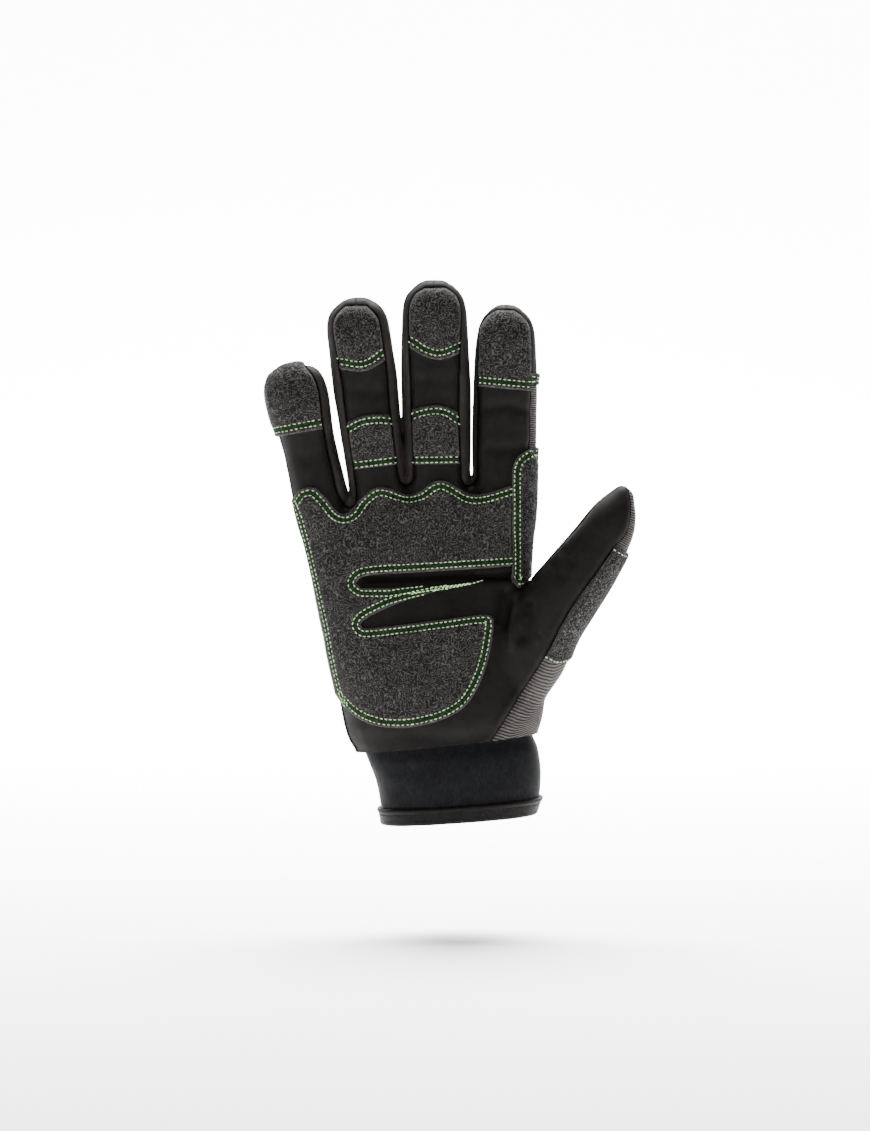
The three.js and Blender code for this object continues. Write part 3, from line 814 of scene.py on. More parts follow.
def rib_count(points: np.ndarray) -> np.ndarray:
    """Returns which rib each point lies on, the ribs being wider apart at the thumb's base."""
    foot, change, done = -20.0, 85.0, 110.0
    wide, middle, fine = 1.3, 1.14, 1.0
    at_change = change / wide
    at_done = at_change + (done - change) / middle
    counts = [foot / wide, at_change, at_done, at_done + (ROOF - done) / fine]
    return np.interp(rib_place(points), [foot, change, done, ROOF], counts)


def rib_place(points: np.ndarray) -> np.ndarray:
    """Works out which rib of the stretch cloth each point lies on.

    Args:
        points: Rows of x, y, z on the plain skin.

    Returns:
        A length in millimetres that grows by one rib's pitch from each rib to the next.
    """
    x, y, z = points.T
    seam = np.array(THUMB_SEAM)
    from_seam = np.maximum(x - np.interp(z, seam[:, 1], seam[:, 0]), 0)
    trough = np.interp(z, [33, 40, 55, 65, 73], [6.4, 7.6, 12.8, 9.0, 5.5])
    past = from_seam - trough
    fall, rise, rounding = 0.33, 0.78, 3.0  # the ribs run down to the trough, then up
    sag = fall * from_seam - rise * 0.5 * (past + np.sqrt(past**2 + rounding))
    beside_thumb = fade(x - 5, 20) * fade(12 - y, 16) * fade(92 - z, 12)
    place = z + beside_thumb * sag
    along = Vector((50.2, 0, 84.4)).normalized()
    start_x, start_z = 26, 66  # where the count along the thumb meets that of the hand
    thumb = start_z + (x - start_x) * along.x + (z - start_z) * along.z
    on_thumb = fade(z - 78, 24) * fade(x - 34, 8) * (z < THUMB_TOP - 2)
    place = place * (1 - on_thumb) + thumb * on_thumb
    for form, limit in ((FINGERS[Finger.PINKY], -52), (FINGERS[Finger.RING], -26)):
        run = np.array(form.tip) - np.array(form.base)
        run /= np.linalg.norm(run)
        finger = form.base[1] + (x - form.base[0]) * run[0] + (z - form.base[1]) * run[1]
        share = fade(z - 138, 14) * (x < limit) * (x > limit - 40)
        place = place * (1 - share) + finger * share
    return place


def fade(past: np.ndarray, reach: float) -> np.ndarray:
    """Returns a share that grows from 0 to 1 over a reach."""
    return np.clip(past / reach, 0, 1)


# Node helpers and shared effects


@dataclass
class Nodes:
    """A short way to add and join shader nodes."""

    tree: bpy.types.NodeTree

    def add(self, kind: str, **settings: object) -> bpy.types.Node:
        """Adds a node.

        Args:
            kind: The node's type without its ShaderNode prefix.
            settings: Values for its properties.

        Returns:
            The node.
        """
        node = self.tree.nodes.new("ShaderNode" + kind)
        for name, value in settings.items():
            setattr(node, name, value)
        return node

    def feed(self, node: bpy.types.Node, **inputs: object) -> bpy.types.Node:
        """Sets or joins a node's inputs.

        Args:
            node: The node.
            inputs: A value or an output socket for each input, with _ for a space or i0, i1 for a place.

        Returns:
            The same node.
        """
        for name, value in inputs.items():
            key = int(name[1:]) if name[0] == "i" and name[1:].isdigit() else name.replace("_", " ")
            socket = node.inputs[key]
            if isinstance(value, bpy.types.NodeSocket):
                self.tree.links.new(value, socket)
            else:
                socket.default_value = value
        return node

    def math(self, operation: str, first: object, second: object = 0.0, third: object = 0.0,
             clamp: bool = False) -> bpy.types.NodeSocket:
        """Adds a Math node.

        Args:
            operation: Its operation.
            first: Its first value or socket.
            second: Its second value or socket.
            third: Its third value or socket.
            clamp: Whether the result stays between 0 and 1.

        Returns:
            Its result.
        """
        node = self.add("Math", operation=operation, use_clamp=clamp)
        return self.feed(node, i0=first, i1=second, i2=third).outputs[0]

    def between(self, value: object, low: float, high: float, to_low: float = 0.0,
                to_high: float = 1.0) -> bpy.types.NodeSocket:
        """Adds a Map Range node.

        Args:
            value: The value or socket that it reads.
            low: Where its range starts.
            high: Where its range ends.
            to_low: What it puts out at low.
            to_high: What it puts out at high.

        Returns:
            Its result.
        """
        node = self.add("MapRange")
        self.feed(node, Value=value, From_Min=low, From_Max=high, To_Min=to_low, To_Max=to_high)
        return node.outputs["Result"]

    def mix(self, share: object, first: object, second: object,
            kind: str = "MIX") -> bpy.types.NodeSocket:
        """Mixes two colours.

        Args:
            share: How much of the second shows.
            first: The first colour or socket.
            second: The second colour or socket.
            kind: The blend type.

        Returns:
            The mixed colour.
        """
        node = self.add("Mix", data_type="RGBA", blend_type=kind)
        self.feed(node, i0=share)
        for socket, value in ((node.inputs[6], first), (node.inputs[7], second)):
            if isinstance(value, bpy.types.NodeSocket):
                self.tree.links.new(value, socket)
            else:
                socket.default_value = (*value, 1.0) if len(value) == 3 else value
        return node.outputs[2]

    def blend(self, share: object, first: object, second: object) -> bpy.types.NodeSocket:
        """Returns a value between two others, by the share of the second."""
        node = self.add("Mix", data_type="FLOAT")
        return self.feed(node, i0=share, i2=first, i3=second).outputs[0]

    def noise(self, vector: object, scale: object, detail: float = 2.0,
              roughness: float = 0.5) -> bpy.types.NodeSocket:
        """Adds a Noise Texture.

        Args:
            vector: Where it is read.
            scale: Its scale or socket.
            detail: Its levels of detail.
            roughness: How strong the finer levels are.

        Returns:
            Its value.
        """
        node = self.feed(self.add("TexNoise"), Vector=vector, Scale=scale, Detail=detail, Roughness=roughness)
        return node.outputs[0]


def new_group(name: str, inputs: dict[str, str], outputs: dict[str, str]) -> tuple[Nodes, object, object]:
    """Starts a shader node group with named sockets.

    Args:
        name: The group's name.
        inputs: Each input's name and socket type.
        outputs: Each output's name and socket type.

    Returns:
        Its nodes, its input node and its output node.
    """
    tree = bpy.data.node_groups.new(name, "ShaderNodeTree")
    for socket, kind in inputs.items():
        tree.interface.new_socket(name=socket, in_out="INPUT", socket_type="NodeSocket" + kind)
    for socket, kind in outputs.items():
        tree.interface.new_socket(name=socket, in_out="OUTPUT", socket_type="NodeSocket" + kind)
    return Nodes(tree), tree.nodes.new("NodeGroupInput"), tree.nodes.new("NodeGroupOutput")


@dataclass
class Effects:
    """Shader node groups that several finishes share, each built once."""

    made: dict[str, bpy.types.NodeTree] = field(default_factory=dict)

    def place(self, nodes: Nodes, name: str, **inputs: object) -> bpy.types.Node:
        """Places a shared effect in a material.

        Args:
            nodes: The material's nodes.
            name: The effect's name, which is also its method's name.
            inputs: Values or sockets for its inputs.

        Returns:
            The group node.
        """
        if name not in self.made:
            self.made[name] = getattr(self, name)()
        node = nodes.add("Group", node_tree=self.made[name])
        return nodes.feed(node, **inputs)

    def grain(self) -> bpy.types.NodeTree:
        """Returns fine pores and creases, with a slow change of tone."""
        nodes, given, result = new_group("Grain", {"Vector": "Vector", "Size": "Float"},
                                         {"Height": "Float", "Tone": "Float"})
        scale = nodes.math("DIVIDE", 1.0, given.outputs["Size"])
        cells = nodes.feed(nodes.add("TexVoronoi", feature="DISTANCE_TO_EDGE"),
                           Vector=given.outputs["Vector"], Scale=scale)
        pores = nodes.between(cells.outputs["Distance"], 0.0, 0.25)
        fine = nodes.noise(given.outputs["Vector"], nodes.math("MULTIPLY", scale, 2.3), 3.0)
        height = nodes.math("ADD", nodes.math("MULTIPLY", pores, 0.6), nodes.math("MULTIPLY", fine, 0.7))
        broad = nodes.noise(given.outputs["Vector"], 55.0, 3.0, 0.55)
        nodes.feed(result, Height=height, Tone=nodes.between(broad, 0.3, 0.7))
        return nodes.tree

    def weave(self) -> bpy.types.NodeTree:
        """Returns fine knitted columns, broken up a little."""
        nodes, given, result = new_group("Weave", {"Vector": "Vector", "Size": "Float", "Stretch": "Float"},
                                         {"Height": "Float", "Tone": "Float"})
        scale = nodes.math("DIVIDE", 1.0, given.outputs["Size"])
        squash = nodes.feed(nodes.add("CombineXYZ"), X=1.0, Y=1.0, Z=given.outputs["Stretch"])
        vector = nodes.feed(nodes.add("VectorMath", operation="MULTIPLY"), i0=given.outputs["Vector"],
                            i1=squash.outputs[0])
        threads = nodes.noise(vector.outputs[0], scale, 2.0, 0.6)
        fuzz = nodes.noise(given.outputs["Vector"], nodes.math("MULTIPLY", scale, 1.7), 2.0)
        height = nodes.math("ADD", nodes.math("MULTIPLY", threads, 0.7), nodes.math("MULTIPLY", fuzz, 0.3))
        nodes.feed(result, Height=height, Tone=nodes.between(height, 0.38, 0.62))
        return nodes.tree

    def dust(self) -> bpy.types.NodeTree:
        """Returns a mask of pale lint and handling marks."""
        nodes, given, result = new_group("Dust", {"Vector": "Vector", "Amount": "Float"}, {"Mask": "Float"})
        specks = nodes.between(nodes.noise(given.outputs["Vector"], 1700.0, 2.0, 0.6), 0.68, 0.8)
        cloud = nodes.between(nodes.noise(given.outputs["Vector"], 90.0, 3.0), 0.35, 0.7)
        both = nodes.math("MULTIPLY", specks, cloud)
        nodes.feed(result, Mask=nodes.math("MULTIPLY", both, given.outputs["Amount"], clamp=True))
        return nodes.tree

    def curls(self) -> bpy.types.NodeTree:
        """Returns short curly fibres, as raised lines that wander and close on themselves."""
        nodes, given, result = new_group("Curls", {"Vector": "Vector", "Size": "Float"},
                                         {"Height": "Float"})
        scale = nodes.math("DIVIDE", 1.0, given.outputs["Size"])
        layers = []
        bends = 30.0
        for shift in (0.0, 0.37):
            place = nodes.feed(nodes.add("VectorMath", operation="ADD"), i0=given.outputs["Vector"],
                               i1=(shift, shift / 2, shift / 3))
            field_value = nodes.noise(place.outputs[0], scale, 0.0)
            turns = nodes.math("SINE", nodes.math("MULTIPLY", field_value, bends))
            layers.append(nodes.between(turns, -0.2, 1.0))
        switch = nodes.between(nodes.noise(given.outputs["Vector"], nodes.math("MULTIPLY", scale, 1.6), 1.0),
                               0.46, 0.54)
        lines = nodes.blend(switch, layers[0], layers[1])
        fuzz = nodes.noise(given.outputs["Vector"], nodes.math("MULTIPLY", scale, 9.0), 2.0, 0.6)
        height = nodes.math("ADD", nodes.math("MULTIPLY", lines, 0.85), nodes.math("MULTIPLY", fuzz, 0.2))
        nodes.feed(result, Height=height)
        return nodes.tree


def new_material(name: str) -> tuple[Nodes, bpy.types.Node, bpy.types.Material]:
    """Starts a material.

    Args:
        name: Its name.

    Returns:
        Its nodes, its shader node and the material.
    """
    material = bpy.data.materials.new(name)
    material.use_nodes = True
    return Nodes(material.node_tree), material.node_tree.nodes["Principled BSDF"], material


Colour = tuple[float, float, float]


@dataclass(frozen=True)
class Leather:
    """Smooth synthetic leather with fine pores and a soft sheen, with shade painted into its seams and the
    palm's crease.
    """

    name: str
    dark: Colour
    light: Colour
    rough: tuple[float, float] = (0.5, 0.64)
    pore: float = 0.0007
    relief: float = 0.22
    specular: float = 0.07
    lint: Colour = (0.08, 0.077, 0.074)
    # Painted shade: the nearly black colour laid along the seams and the palm's crease.
    painted_seam_and_crease_shade: Colour = (0.001, 0.001, 0.001)
    pore_depth: float = 0.0002

    def material(self, effects: Effects) -> bpy.types.Material:
        """Returns the finish as a material."""
        nodes, shader, material = new_material(self.name)
        where = nodes.add("TexCoord").outputs["Object"]
        grain = effects.place(nodes, "grain", Vector=where, Size=self.pore)
        dust = effects.place(nodes, "dust", Vector=where, Amount=0.5)
        tone = nodes.mix(grain.outputs["Tone"], self.dark, self.light)
        seam = nodes.add("Attribute", attribute_name="seam").outputs["Fac"]
        worn = nodes.mix(dust.outputs["Mask"], tone, self.lint)
        # Painted shade: the colour goes nearly black along the seams and the palm's crease, where the grooves
        # lie in shade.
        colour = nodes.mix(nodes.between(seam, 0.25, 0.8, 0.85, 0.0), worn, self.painted_seam_and_crease_shade)
        rough = nodes.between(grain.outputs["Tone"], 0.0, 1.0, *self.rough)
        bump = nodes.feed(nodes.add("Bump"), Strength=self.relief, Distance=self.pore_depth,
                          Height=grain.outputs["Height"])
        edge_on = nodes.feed(nodes.add("LayerWeight"), Blend=0.5).outputs["Facing"]
        fading = nodes.between(edge_on, 0.35, 0.75, 1.0, 0.0)
        # Painted shade too: the sheen is turned down along the seams and the palm's crease.
        sheen = nodes.math("MULTIPLY", nodes.between(seam, 0.2, 0.9, 0.02, self.specular), fading)
        nodes.feed(shader, Base_Color=colour, Roughness=rough, Specular_IOR_Level=sheen,
                   Normal=bump.outputs[0])
        return material


@dataclass(frozen=True)
class RibbedCloth:
    """Stretch cloth with fine raised ribs that follow the rib attribute, painted darker in the grooves and
    lighter on the ridges as painted shade and highlight.
    """

    name: str
    # Painted shade: the colour in the grooves between the ribs.
    groove: Colour
    # Painted highlight: the colour on the ribs' ridges.
    ridge: Colour
    relief: float = 0.8
    height: float = 0.0004

    def material(self, effects: Effects) -> bpy.types.Material:
        """Returns the finish as a material."""
        nodes, shader, material = new_material(self.name)
        where = nodes.add("TexCoord").outputs["Object"]
        count = nodes.add("Attribute", attribute_name="rib").outputs["Fac"]
        drift = nodes.math("MULTIPLY", nodes.noise(where, 260.0, 2.0), 0.5)
        turn = nodes.math("MULTIPLY", nodes.math("ADD", count, drift), 2 * math.pi)
        ridge = nodes.between(nodes.math("SINE", turn), -0.9, 0.55)
        weave = effects.place(nodes, "weave", Vector=where, Size=0.0003, Stretch=0.6)
        # Painted highlight and shade: the ridges are coloured light and the grooves dark, on top of the
        # bump's own shading.
        painted_rib_highlight = nodes.math("MULTIPLY", ridge, nodes.between(weave.outputs["Tone"], 0.0, 1.0, 0.55, 1.0))
        colour = nodes.mix(painted_rib_highlight, self.groove, self.ridge)
        height = nodes.math("ADD", ridge, nodes.math("MULTIPLY", weave.outputs["Height"], 0.5))
        bump = nodes.feed(nodes.add("Bump"), Strength=self.relief, Distance=self.height, Height=height)
        nodes.feed(shader, Base_Color=colour, Roughness=0.85, Specular_IOR_Level=0.15, Normal=bump.outputs[0])
        return material


@dataclass(frozen=True)
class GripPatch:
    """Grip cloth of short curly fibres, with a dark green band where it is sewn down."""

    name: str
    dark: Colour
    light: Colour
    rim: Colour = (0.05, 0.048, 0.046)
    band_dark: Colour = (0.0025, 0.006, 0.0025)
    band_light: Colour = (0.01, 0.027, 0.009)
    band_half: float = 1.1
    curl: float = 0.0024
    relief: float = 0.6
    fibre_height: float = 0.0005

    def material(self, effects: Effects) -> bpy.types.Material:
        """Returns the finish as a material."""
        nodes, shader, material = new_material(self.name)
        where = nodes.add("TexCoord").outputs["Object"]
        curls = effects.place(nodes, "curls", Vector=where, Size=self.curl)
        fibre = nodes.between(curls.outputs["Height"], 0.2, 1.0)
        inner = nodes.mix(fibre, self.dark, self.light)
        edge = nodes.add("Attribute", attribute_name="edge").outputs["Fac"]
        cloth = nodes.mix(nodes.between(edge, 0.2, 1.6, 0.45, 0.0), inner, self.rim)
        band = nodes.add("Attribute", attribute_name="band").outputs["Fac"]
        share = nodes.between(band, self.band_half * 0.6, self.band_half * 1.25, 1.0, 0.0)
        lift = nodes.between(nodes.noise(where, 1500.0, 2.0), 0.42, 0.62)
        green = nodes.mix(lift, self.band_dark, self.band_light)
        colour = nodes.mix(share, cloth, green)
        bump = nodes.feed(nodes.add("Bump"), Strength=self.relief, Distance=self.fibre_height,
                          Height=curls.outputs["Height"])
        nodes.feed(shader, Base_Color=colour, Roughness=0.9, Specular_IOR_Level=0.1, Normal=bump.outputs[0])
        return material


@dataclass(frozen=True)
class Neoprene:
    """Foam cuff cloth with a fine upright texture."""

    name: str
    dark: Colour
    light: Colour
    size: float = 0.0006
    stretch: float = 0.22
    relief: float = 0.5
    rough: float = 0.8
    lint: Colour = (0.12, 0.12, 0.13)
    thread_height: float = 0.0003

    def material(self, effects: Effects) -> bpy.types.Material:
        """Returns the finish as a material."""
        nodes, shader, material = new_material(self.name)
        where = nodes.add("TexCoord").outputs["Object"]
        weave = effects.place(nodes, "weave", Vector=where, Size=self.size, Stretch=self.stretch)
        dust = effects.place(nodes, "dust", Vector=where, Amount=0.6)
        tone = nodes.mix(weave.outputs["Tone"], self.dark, self.light)
        colour = nodes.mix(dust.outputs["Mask"], tone, self.lint)
        bump = nodes.feed(nodes.add("Bump"), Strength=self.relief, Distance=self.thread_height,
                          Height=weave.outputs["Height"])
        nodes.feed(shader, Base_Color=colour, Roughness=self.rough, Specular_IOR_Level=0.08,
                   Normal=bump.outputs[0])
        return material


@dataclass(frozen=True)
class Thread:
    """Twisted sewing thread."""

    name: str
    dark: Colour
    light: Colour

    def material(self, effects: Effects) -> bpy.types.Material:
        """Returns the finish as a material."""
        nodes, shader, material = new_material(self.name)
        where = nodes.add("TexCoord").outputs["Object"]
        weave = effects.place(nodes, "weave", Vector=where, Size=0.0002, Stretch=1.0)
        worn = nodes.between(nodes.noise(where, 600.0, 2.0), 0.35, 0.65)
        share = nodes.math("MULTIPLY", worn, nodes.between(weave.outputs["Tone"], 0.0, 1.0, 0.6, 1.0))
        colour = nodes.mix(share, self.dark, self.light)
        bump = nodes.feed(nodes.add("Bump"), Strength=0.6, Distance=0.0001, Height=weave.outputs["Height"])
        nodes.feed(shader, Base_Color=colour, Roughness=0.6, Normal=bump.outputs[0])
        return material


class Slot(Enum):
    """The record's material slots."""

    FRONT_LEATHER = "front_leather"
    SIDE_LEATHER = "side_leather"
    RIBBED_CLOTH = "ribbed_cloth"
    GRIP_PATCH = "grip_patch"
    NEOPRENE = "neoprene"
    BINDING = "binding"
    THREAD = "thread"


FINISHES = {
    Slot.FRONT_LEATHER: Leather("front leather", (0.0028, 0.0024, 0.0022), (0.0062, 0.0054, 0.0049)),
    # The side leather is coloured lighter than the front leather, partly its own tone and partly painted rim
    # light that the strips catch from the pale surroundings.
    Slot.SIDE_LEATHER: Leather("side leather", (0.0110, 0.0097, 0.0090), (0.0220, 0.0194, 0.0181),
                               rough=(0.55, 0.68)),
    # The ribbed cloth's two colours are painted shade in the grooves and painted highlight on the ridges.
    Slot.RIBBED_CLOTH: RibbedCloth("ribbed cloth", (0.009, 0.0081, 0.0077), (0.08, 0.071, 0.068)),
    Slot.GRIP_PATCH: GripPatch("grip patch", (0.0058, 0.0056, 0.0054), (0.052, 0.0496, 0.048)),
    Slot.NEOPRENE: Neoprene("neoprene", (0.0026, 0.0027, 0.0035), (0.006, 0.0062, 0.0078)),
    Slot.BINDING: Neoprene("binding", (0.002, 0.0018, 0.0017), (0.0055, 0.0048, 0.0044),
                           size=0.0004, stretch=0.5, relief=0.4, rough=0.65),
    Slot.THREAD: Thread("thread", (0.19, 0.33, 0.14), (0.54, 0.74, 0.41)),
}


@dataclass
class Palette:
    """Makes each finish once."""

    effects: Effects = field(default_factory=Effects)
    made: dict[Slot, bpy.types.Material] = field(default_factory=dict)

    def __getitem__(self, slot: Slot) -> bpy.types.Material:
        """Returns the material of a slot."""
        if slot not in self.made:
            self.made[slot] = FINISHES[slot].material(self.effects)
        return self.made[slot]


# Panels


@dataclass(frozen=True)
class Panel:
    """One sewn panel: its name, the node it stands for, its finish and its flat cut in metres."""

    name: str
    node: str
    slot: Slot
    flat: tuple[float, float]
    area: float


@dataclass
class Panels:
    """The leather front, the cloth back and the strips between the fingers."""

    palette: Palette
    wall: float = 1.6
    pieces: tuple[Panel, ...] = (
        Panel("front_leather", "palm_panel", Slot.FRONT_LEATHER, (0.2, 0.24), 0.023),
        Panel("pinky_ring_strip", "side_strip_pinky_ring", Slot.SIDE_LEATHER, (0.03, 0.17), 0.0032),
        Panel("ring_middle_strip", "side_strip_ring_middle", Slot.SIDE_LEATHER, (0.03, 0.19), 0.0036),
        Panel("middle_index_strip", "side_strip_middle_index", Slot.SIDE_LEATHER, (0.03, 0.19), 0.0032),
        Panel("index_tip_strip", "side_strip_index_tip", Slot.SIDE_LEATHER, (0.02, 0.045), 0.0006),
        Panel("back_cloth", "back_panel", Slot.RIBBED_CLOTH, (0.22, 0.25), 0.027),
    )

    def build(self, skin: bmesh.types.BMesh) -> list[bpy.types.Object]:
        """Cuts the panels from the skin.

        Args:
            skin: The skin of the whole hand.

        Returns:
            The panels.
        """
        centres = face_rest(skin)
        regions = [front_field, *map(pocket_field, POCKETS), tip_side_field]
        owner = np.full(len(centres), len(regions))
        for number, region in reversed(list(enumerate(regions))):
            owner[region(centres) < 0] = number
        made = []
        for number, panel in enumerate(self.pieces):
            part = part_of(skin, owner == number)
            store(part, "rib", rib_count(rest_of(part)))
            # The seam attribute places the painted shade in the leather's seams and the palm's crease.
            store(part, "seam", shade_distance(rest_of(part)))
            count = len(part.verts)
            thickened(part, np.full(count, -self.wall), np.zeros(count))
            piece = finished(part, panel.name, self.palette[panel.slot])
            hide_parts(panel.node)
            made.append(piece)
        return made


# Patches and their stitches


@dataclass(frozen=True)
class Stitching:
    """Rows of stitches along a line in the front view."""

    line: Outline
    rows: int = 2
    banded: bool = True


@dataclass(frozen=True)
class PatchForm:
    """A grip patch: the node it stands for, where it lies, its stitching and its flat cut."""

    name: str
    region: Field
    stitching: list[Stitching]
    flat: tuple[float, float]
    area: float
    soft_above: float = ROOF  # z above which its rim thins out softly

    @property
    def piece(self) -> str:
        """Returns the name of the cloth that stands for the node."""
        return self.name.replace("patch", "grip")


def evenly(line: Outline, step: float = 0.4) -> Outline:
    """Spaces a line's points evenly.

    Args:
        line: The line's points.
        step: The space between two points.

    Returns:
        The new points, ends kept.
    """
    corners = np.array(line, dtype=float)
    run = np.concatenate([[0], np.cumsum(np.linalg.norm(np.diff(corners, axis=0), axis=1))])
    places = np.linspace(0, run[-1], max(int(run[-1] / step), 1) + 1)
    return list(zip(np.interp(places, run, corners[:, 0]), np.interp(places, run, corners[:, 1])))


def inset(line: Outline, distance: float) -> Outline:
    """Returns a smooth, even line at one distance beside the points given, to the right of them."""
    smooth = evenly(smooth_line(line, 6))
    return offset_line(smooth, [distance] * len(smooth))


PALM_SIDE_STITCHES: Outline = [
    (-74.4, 143.4), (-73.4, 140.6), (-72.1, 137), (-70.7, 132), (-68.9, 125.2), (-67.6, 120),
    (-66.3, 114.5), (-65, 109), (-63.3, 101.5), (-61.4, 93), (-59.6, 84.7), (-58, 75.6), (-56.2, 67.2),
    (-54.1, 58.8), (-52.6, 54.4), (-50.6, 51.2),
]
PALM_TOP: Outline = [
    (-76.3, 144.9), (-72.5, 150), (-66.5, 151), (-61.5, 146.6), (-55.3, 139.4), (-49.7, 139.6),
    (-44.4, 146.4), (-38.5, 150.8), (-32.5, 150.6), (-24.6, 147.4), (-18.6, 148.8), (-13.4, 152.8),
    (-8.6, 154.2), (-3.4, 152.2), (2.6, 148.2), (8.2, 147.4), (14.8, 149), (23.2, 151.8),
]
WEDGE_ROWS: list[Outline] = [
    [(-22, 102.4), (-9, 105.1), (0, 106.4), (5, 107.2), (9.6, 107.9)],
    [(-13, 105.4), (-4, 106.2), (4, 107.3)],
    [(-12, 103.9), (-4, 105.3), (4, 106.8)],
]
UPPER_SLOT: Outline = [
    (23.2, 114.8), (-12.8, 112.7), (-40.5, 111), (-46.6, 108.4), (-45.8, 106), (-40.3, 105.1),
    (-9.2, 106.2), (10, 107.9),
]
LOWER_SLOT: Outline = [
    (10, 107.9), (-11.4, 103.5), (-25.2, 99.5), (-36.6, 94.6), (-43.6, 90.6), (-44.4, 87.6),
    (-38.5, 87.2), (-8.7, 90.9), (11, 93.1), (14.9, 90), (14.1, 80.3), (11.7, 69.6), (7.8, 60),
    (3.1, 52.9), (-3.5, 48), (-12.8, 44.4), (-25.5, 42.2), (-38, 43), (-48, 47.4), (-56, 55.5),
]
SADDLE: Outline = [
    (37, 170), (35.1, 169), (30.7, 167.8), (26.3, 164.8), (24, 160.5), (23.6, 154.3), (23.6, 132),
    (23.6, 109.4), (24.5, 107.1), (26.9, 104.6), (29.6, 106.8), (31.8, 109.8), (34.4, 113.4),
    (36.2, 122), (37, 140),
]
THUMB_FRONT_EDGE: Outline = [(70.0, 125.0), (61.9, 111.5), (54.4, 101.2), (46.9, 89), (38.7, 73.4)]
THUMB_LOW_EDGE: Outline = [(38.7, 73.4), (43.5, 71.2), (49, 72.1), (54.9, 75.6), (90, 88)]


def palm_edge(z: np.ndarray) -> np.ndarray:
    """Returns the y of the palm patch's edge on the outer side of the hand."""
    return np.interp(z, [60, 85, 98, 109, 125, 138], [1.6, 1.6, -0.4, -2.6, -2.6, -3.2])


def palm_region(points: np.ndarray) -> np.ndarray:
    """Returns how far each point lies outside the palm patch."""
    outline = smooth_line(PALM_TOP) + smooth_line(UPPER_SLOT) + smooth_line(LOWER_SLOT)[1:]
    outline += [(-90, 62), (-90, 144.9)]
    return np.maximum(inside_distance(points, outline), points[:, 1] - palm_edge(points[:, 2]))


def wedge_rows() -> list[Outline]:
    """Returns the stitch lines round both slots, which run together in the thin wedge between them."""
    above = np.array(UPPER_SLOT[4:])
    below = np.array(LOWER_SLOT[:5])[::-1]
    apart = 2.5  # between a slot's edge and its stitching, where there is room
    narrow, least_width = 0.28, 0.9  # in the wedge, the stitching lies at this share of its width
    from_x, to_x = -44, 12
    lines = []
    for slot in (UPPER_SLOT, LOWER_SLOT):
        smooth = evenly(smooth_line(slot, 6))
        insets = []
        for x, z in smooth:
            width = np.interp(x, *above.T) - np.interp(x, *below.T)
            near = min(abs(z - np.interp(x, *above.T)), abs(z - np.interp(x, *below.T)))
            in_wedge = near < 1.0 and from_x < x < to_x
            insets.append(min(apart, narrow * max(width, least_width)) if in_wedge else apart)
        lines.append(offset_line(smooth, insets))
    return lines


def saddle_region(points: np.ndarray) -> np.ndarray:
    """Returns how far each point lies outside the patch between thumb and index."""
    return np.maximum(inside_distance(points, smooth_line(SADDLE)), points[:, 1] - 6)


def thumb_region(points: np.ndarray) -> np.ndarray:
    """Returns how far each point lies outside the patch on the thumb's outer side."""
    x, y, z = points.T
    outline = smooth_line(THUMB_FRONT_EDGE) + smooth_line(THUMB_LOW_EDGE)[1:] + [(90, 112)]
    return np.maximum(inside_distance(points, outline), y - thumb_seam_y(x, z, at_root=3))


def finger_region(finger: Finger, low: Outline, high: Outline) -> Field:
    """Makes the field of a patch across the front of a finger.

    Args:
        finger: The finger it lies on.
        low: Its lower edge, left to right.
        high: Its upper edge, left to right.

    Returns:
        A field that is negative on the patch.
    """
    form = FINGERS[finger]
    seams = [*form.left_edge(), *reversed(form.right_edge())]
    outline = smooth_line(low) + smooth_line(high)[::-1]

    def region(points: np.ndarray) -> np.ndarray:
        """Returns how far each point lies outside the patch."""
        sides = np.maximum(inside_distance(points, seams), front_split(points)) + SEAM_MARGIN
        return np.maximum(inside_distance(points, outline), sides)

    return region


OVER_TIP: Outline = [(-95, ROOF), (60, ROOF)]
INDEX_TAB: Outline = [(29, 197.4), (FAR, 197), (FAR, 202.2), (29, 202.8)]


def finger_patch(name: str, finger: Finger, low: Outline, low_inset: float, flat: tuple[float, float],
                 area: float, high: Outline | None = None, high_inset: float = 0.0,
                 soft_above: float = ROOF) -> PatchForm:
    """Describes a patch across a finger's front.

    Args:
        name: Its node.
        finger: Its finger.
        low: Its lower edge, left to right.
        low_inset: How far the stitching lies above that edge.
        flat: The size of its flat cut in metres.
        area: The cut's area in square metres.
        high: Its upper edge, or nothing where it runs to the tip.
        high_inset: How far the stitching lies below that edge.
        soft_above: The z above which its rim thins out softly.

    Returns:
        The patch.
    """
    stitching = [Stitching(inset(low, -low_inset))]
    if high:
        stitching.append(Stitching(inset(high, high_inset)))
    region = finger_region(finger, low, high or OVER_TIP)
    return PatchForm(name, region, stitching, flat, area, soft_above)


def index_tip_patch() -> PatchForm:
    """Returns the index fingertip's patch, with a tab over the foot of the black side piece."""
    main = finger_patch("index_tip_patch", Finger.INDEX,
                        [(0, 197.6), (8, 197), (32, 194.8), (40, 194)], 2.9, (0.028, 0.04), 0.0010,
                        soft_above=223)

    def region(points: np.ndarray) -> np.ndarray:
        """Returns how far each point lies outside the patch and its tab."""
        tab = np.maximum(inside_distance(points, INDEX_TAB), points[:, 1] - 2)
        return np.minimum(main.region(points), tab)

    across = Stitching([(31.4, 200.2), (36, 199.6)])
    return replace(main, region=region, stitching=[*main.stitching, across])


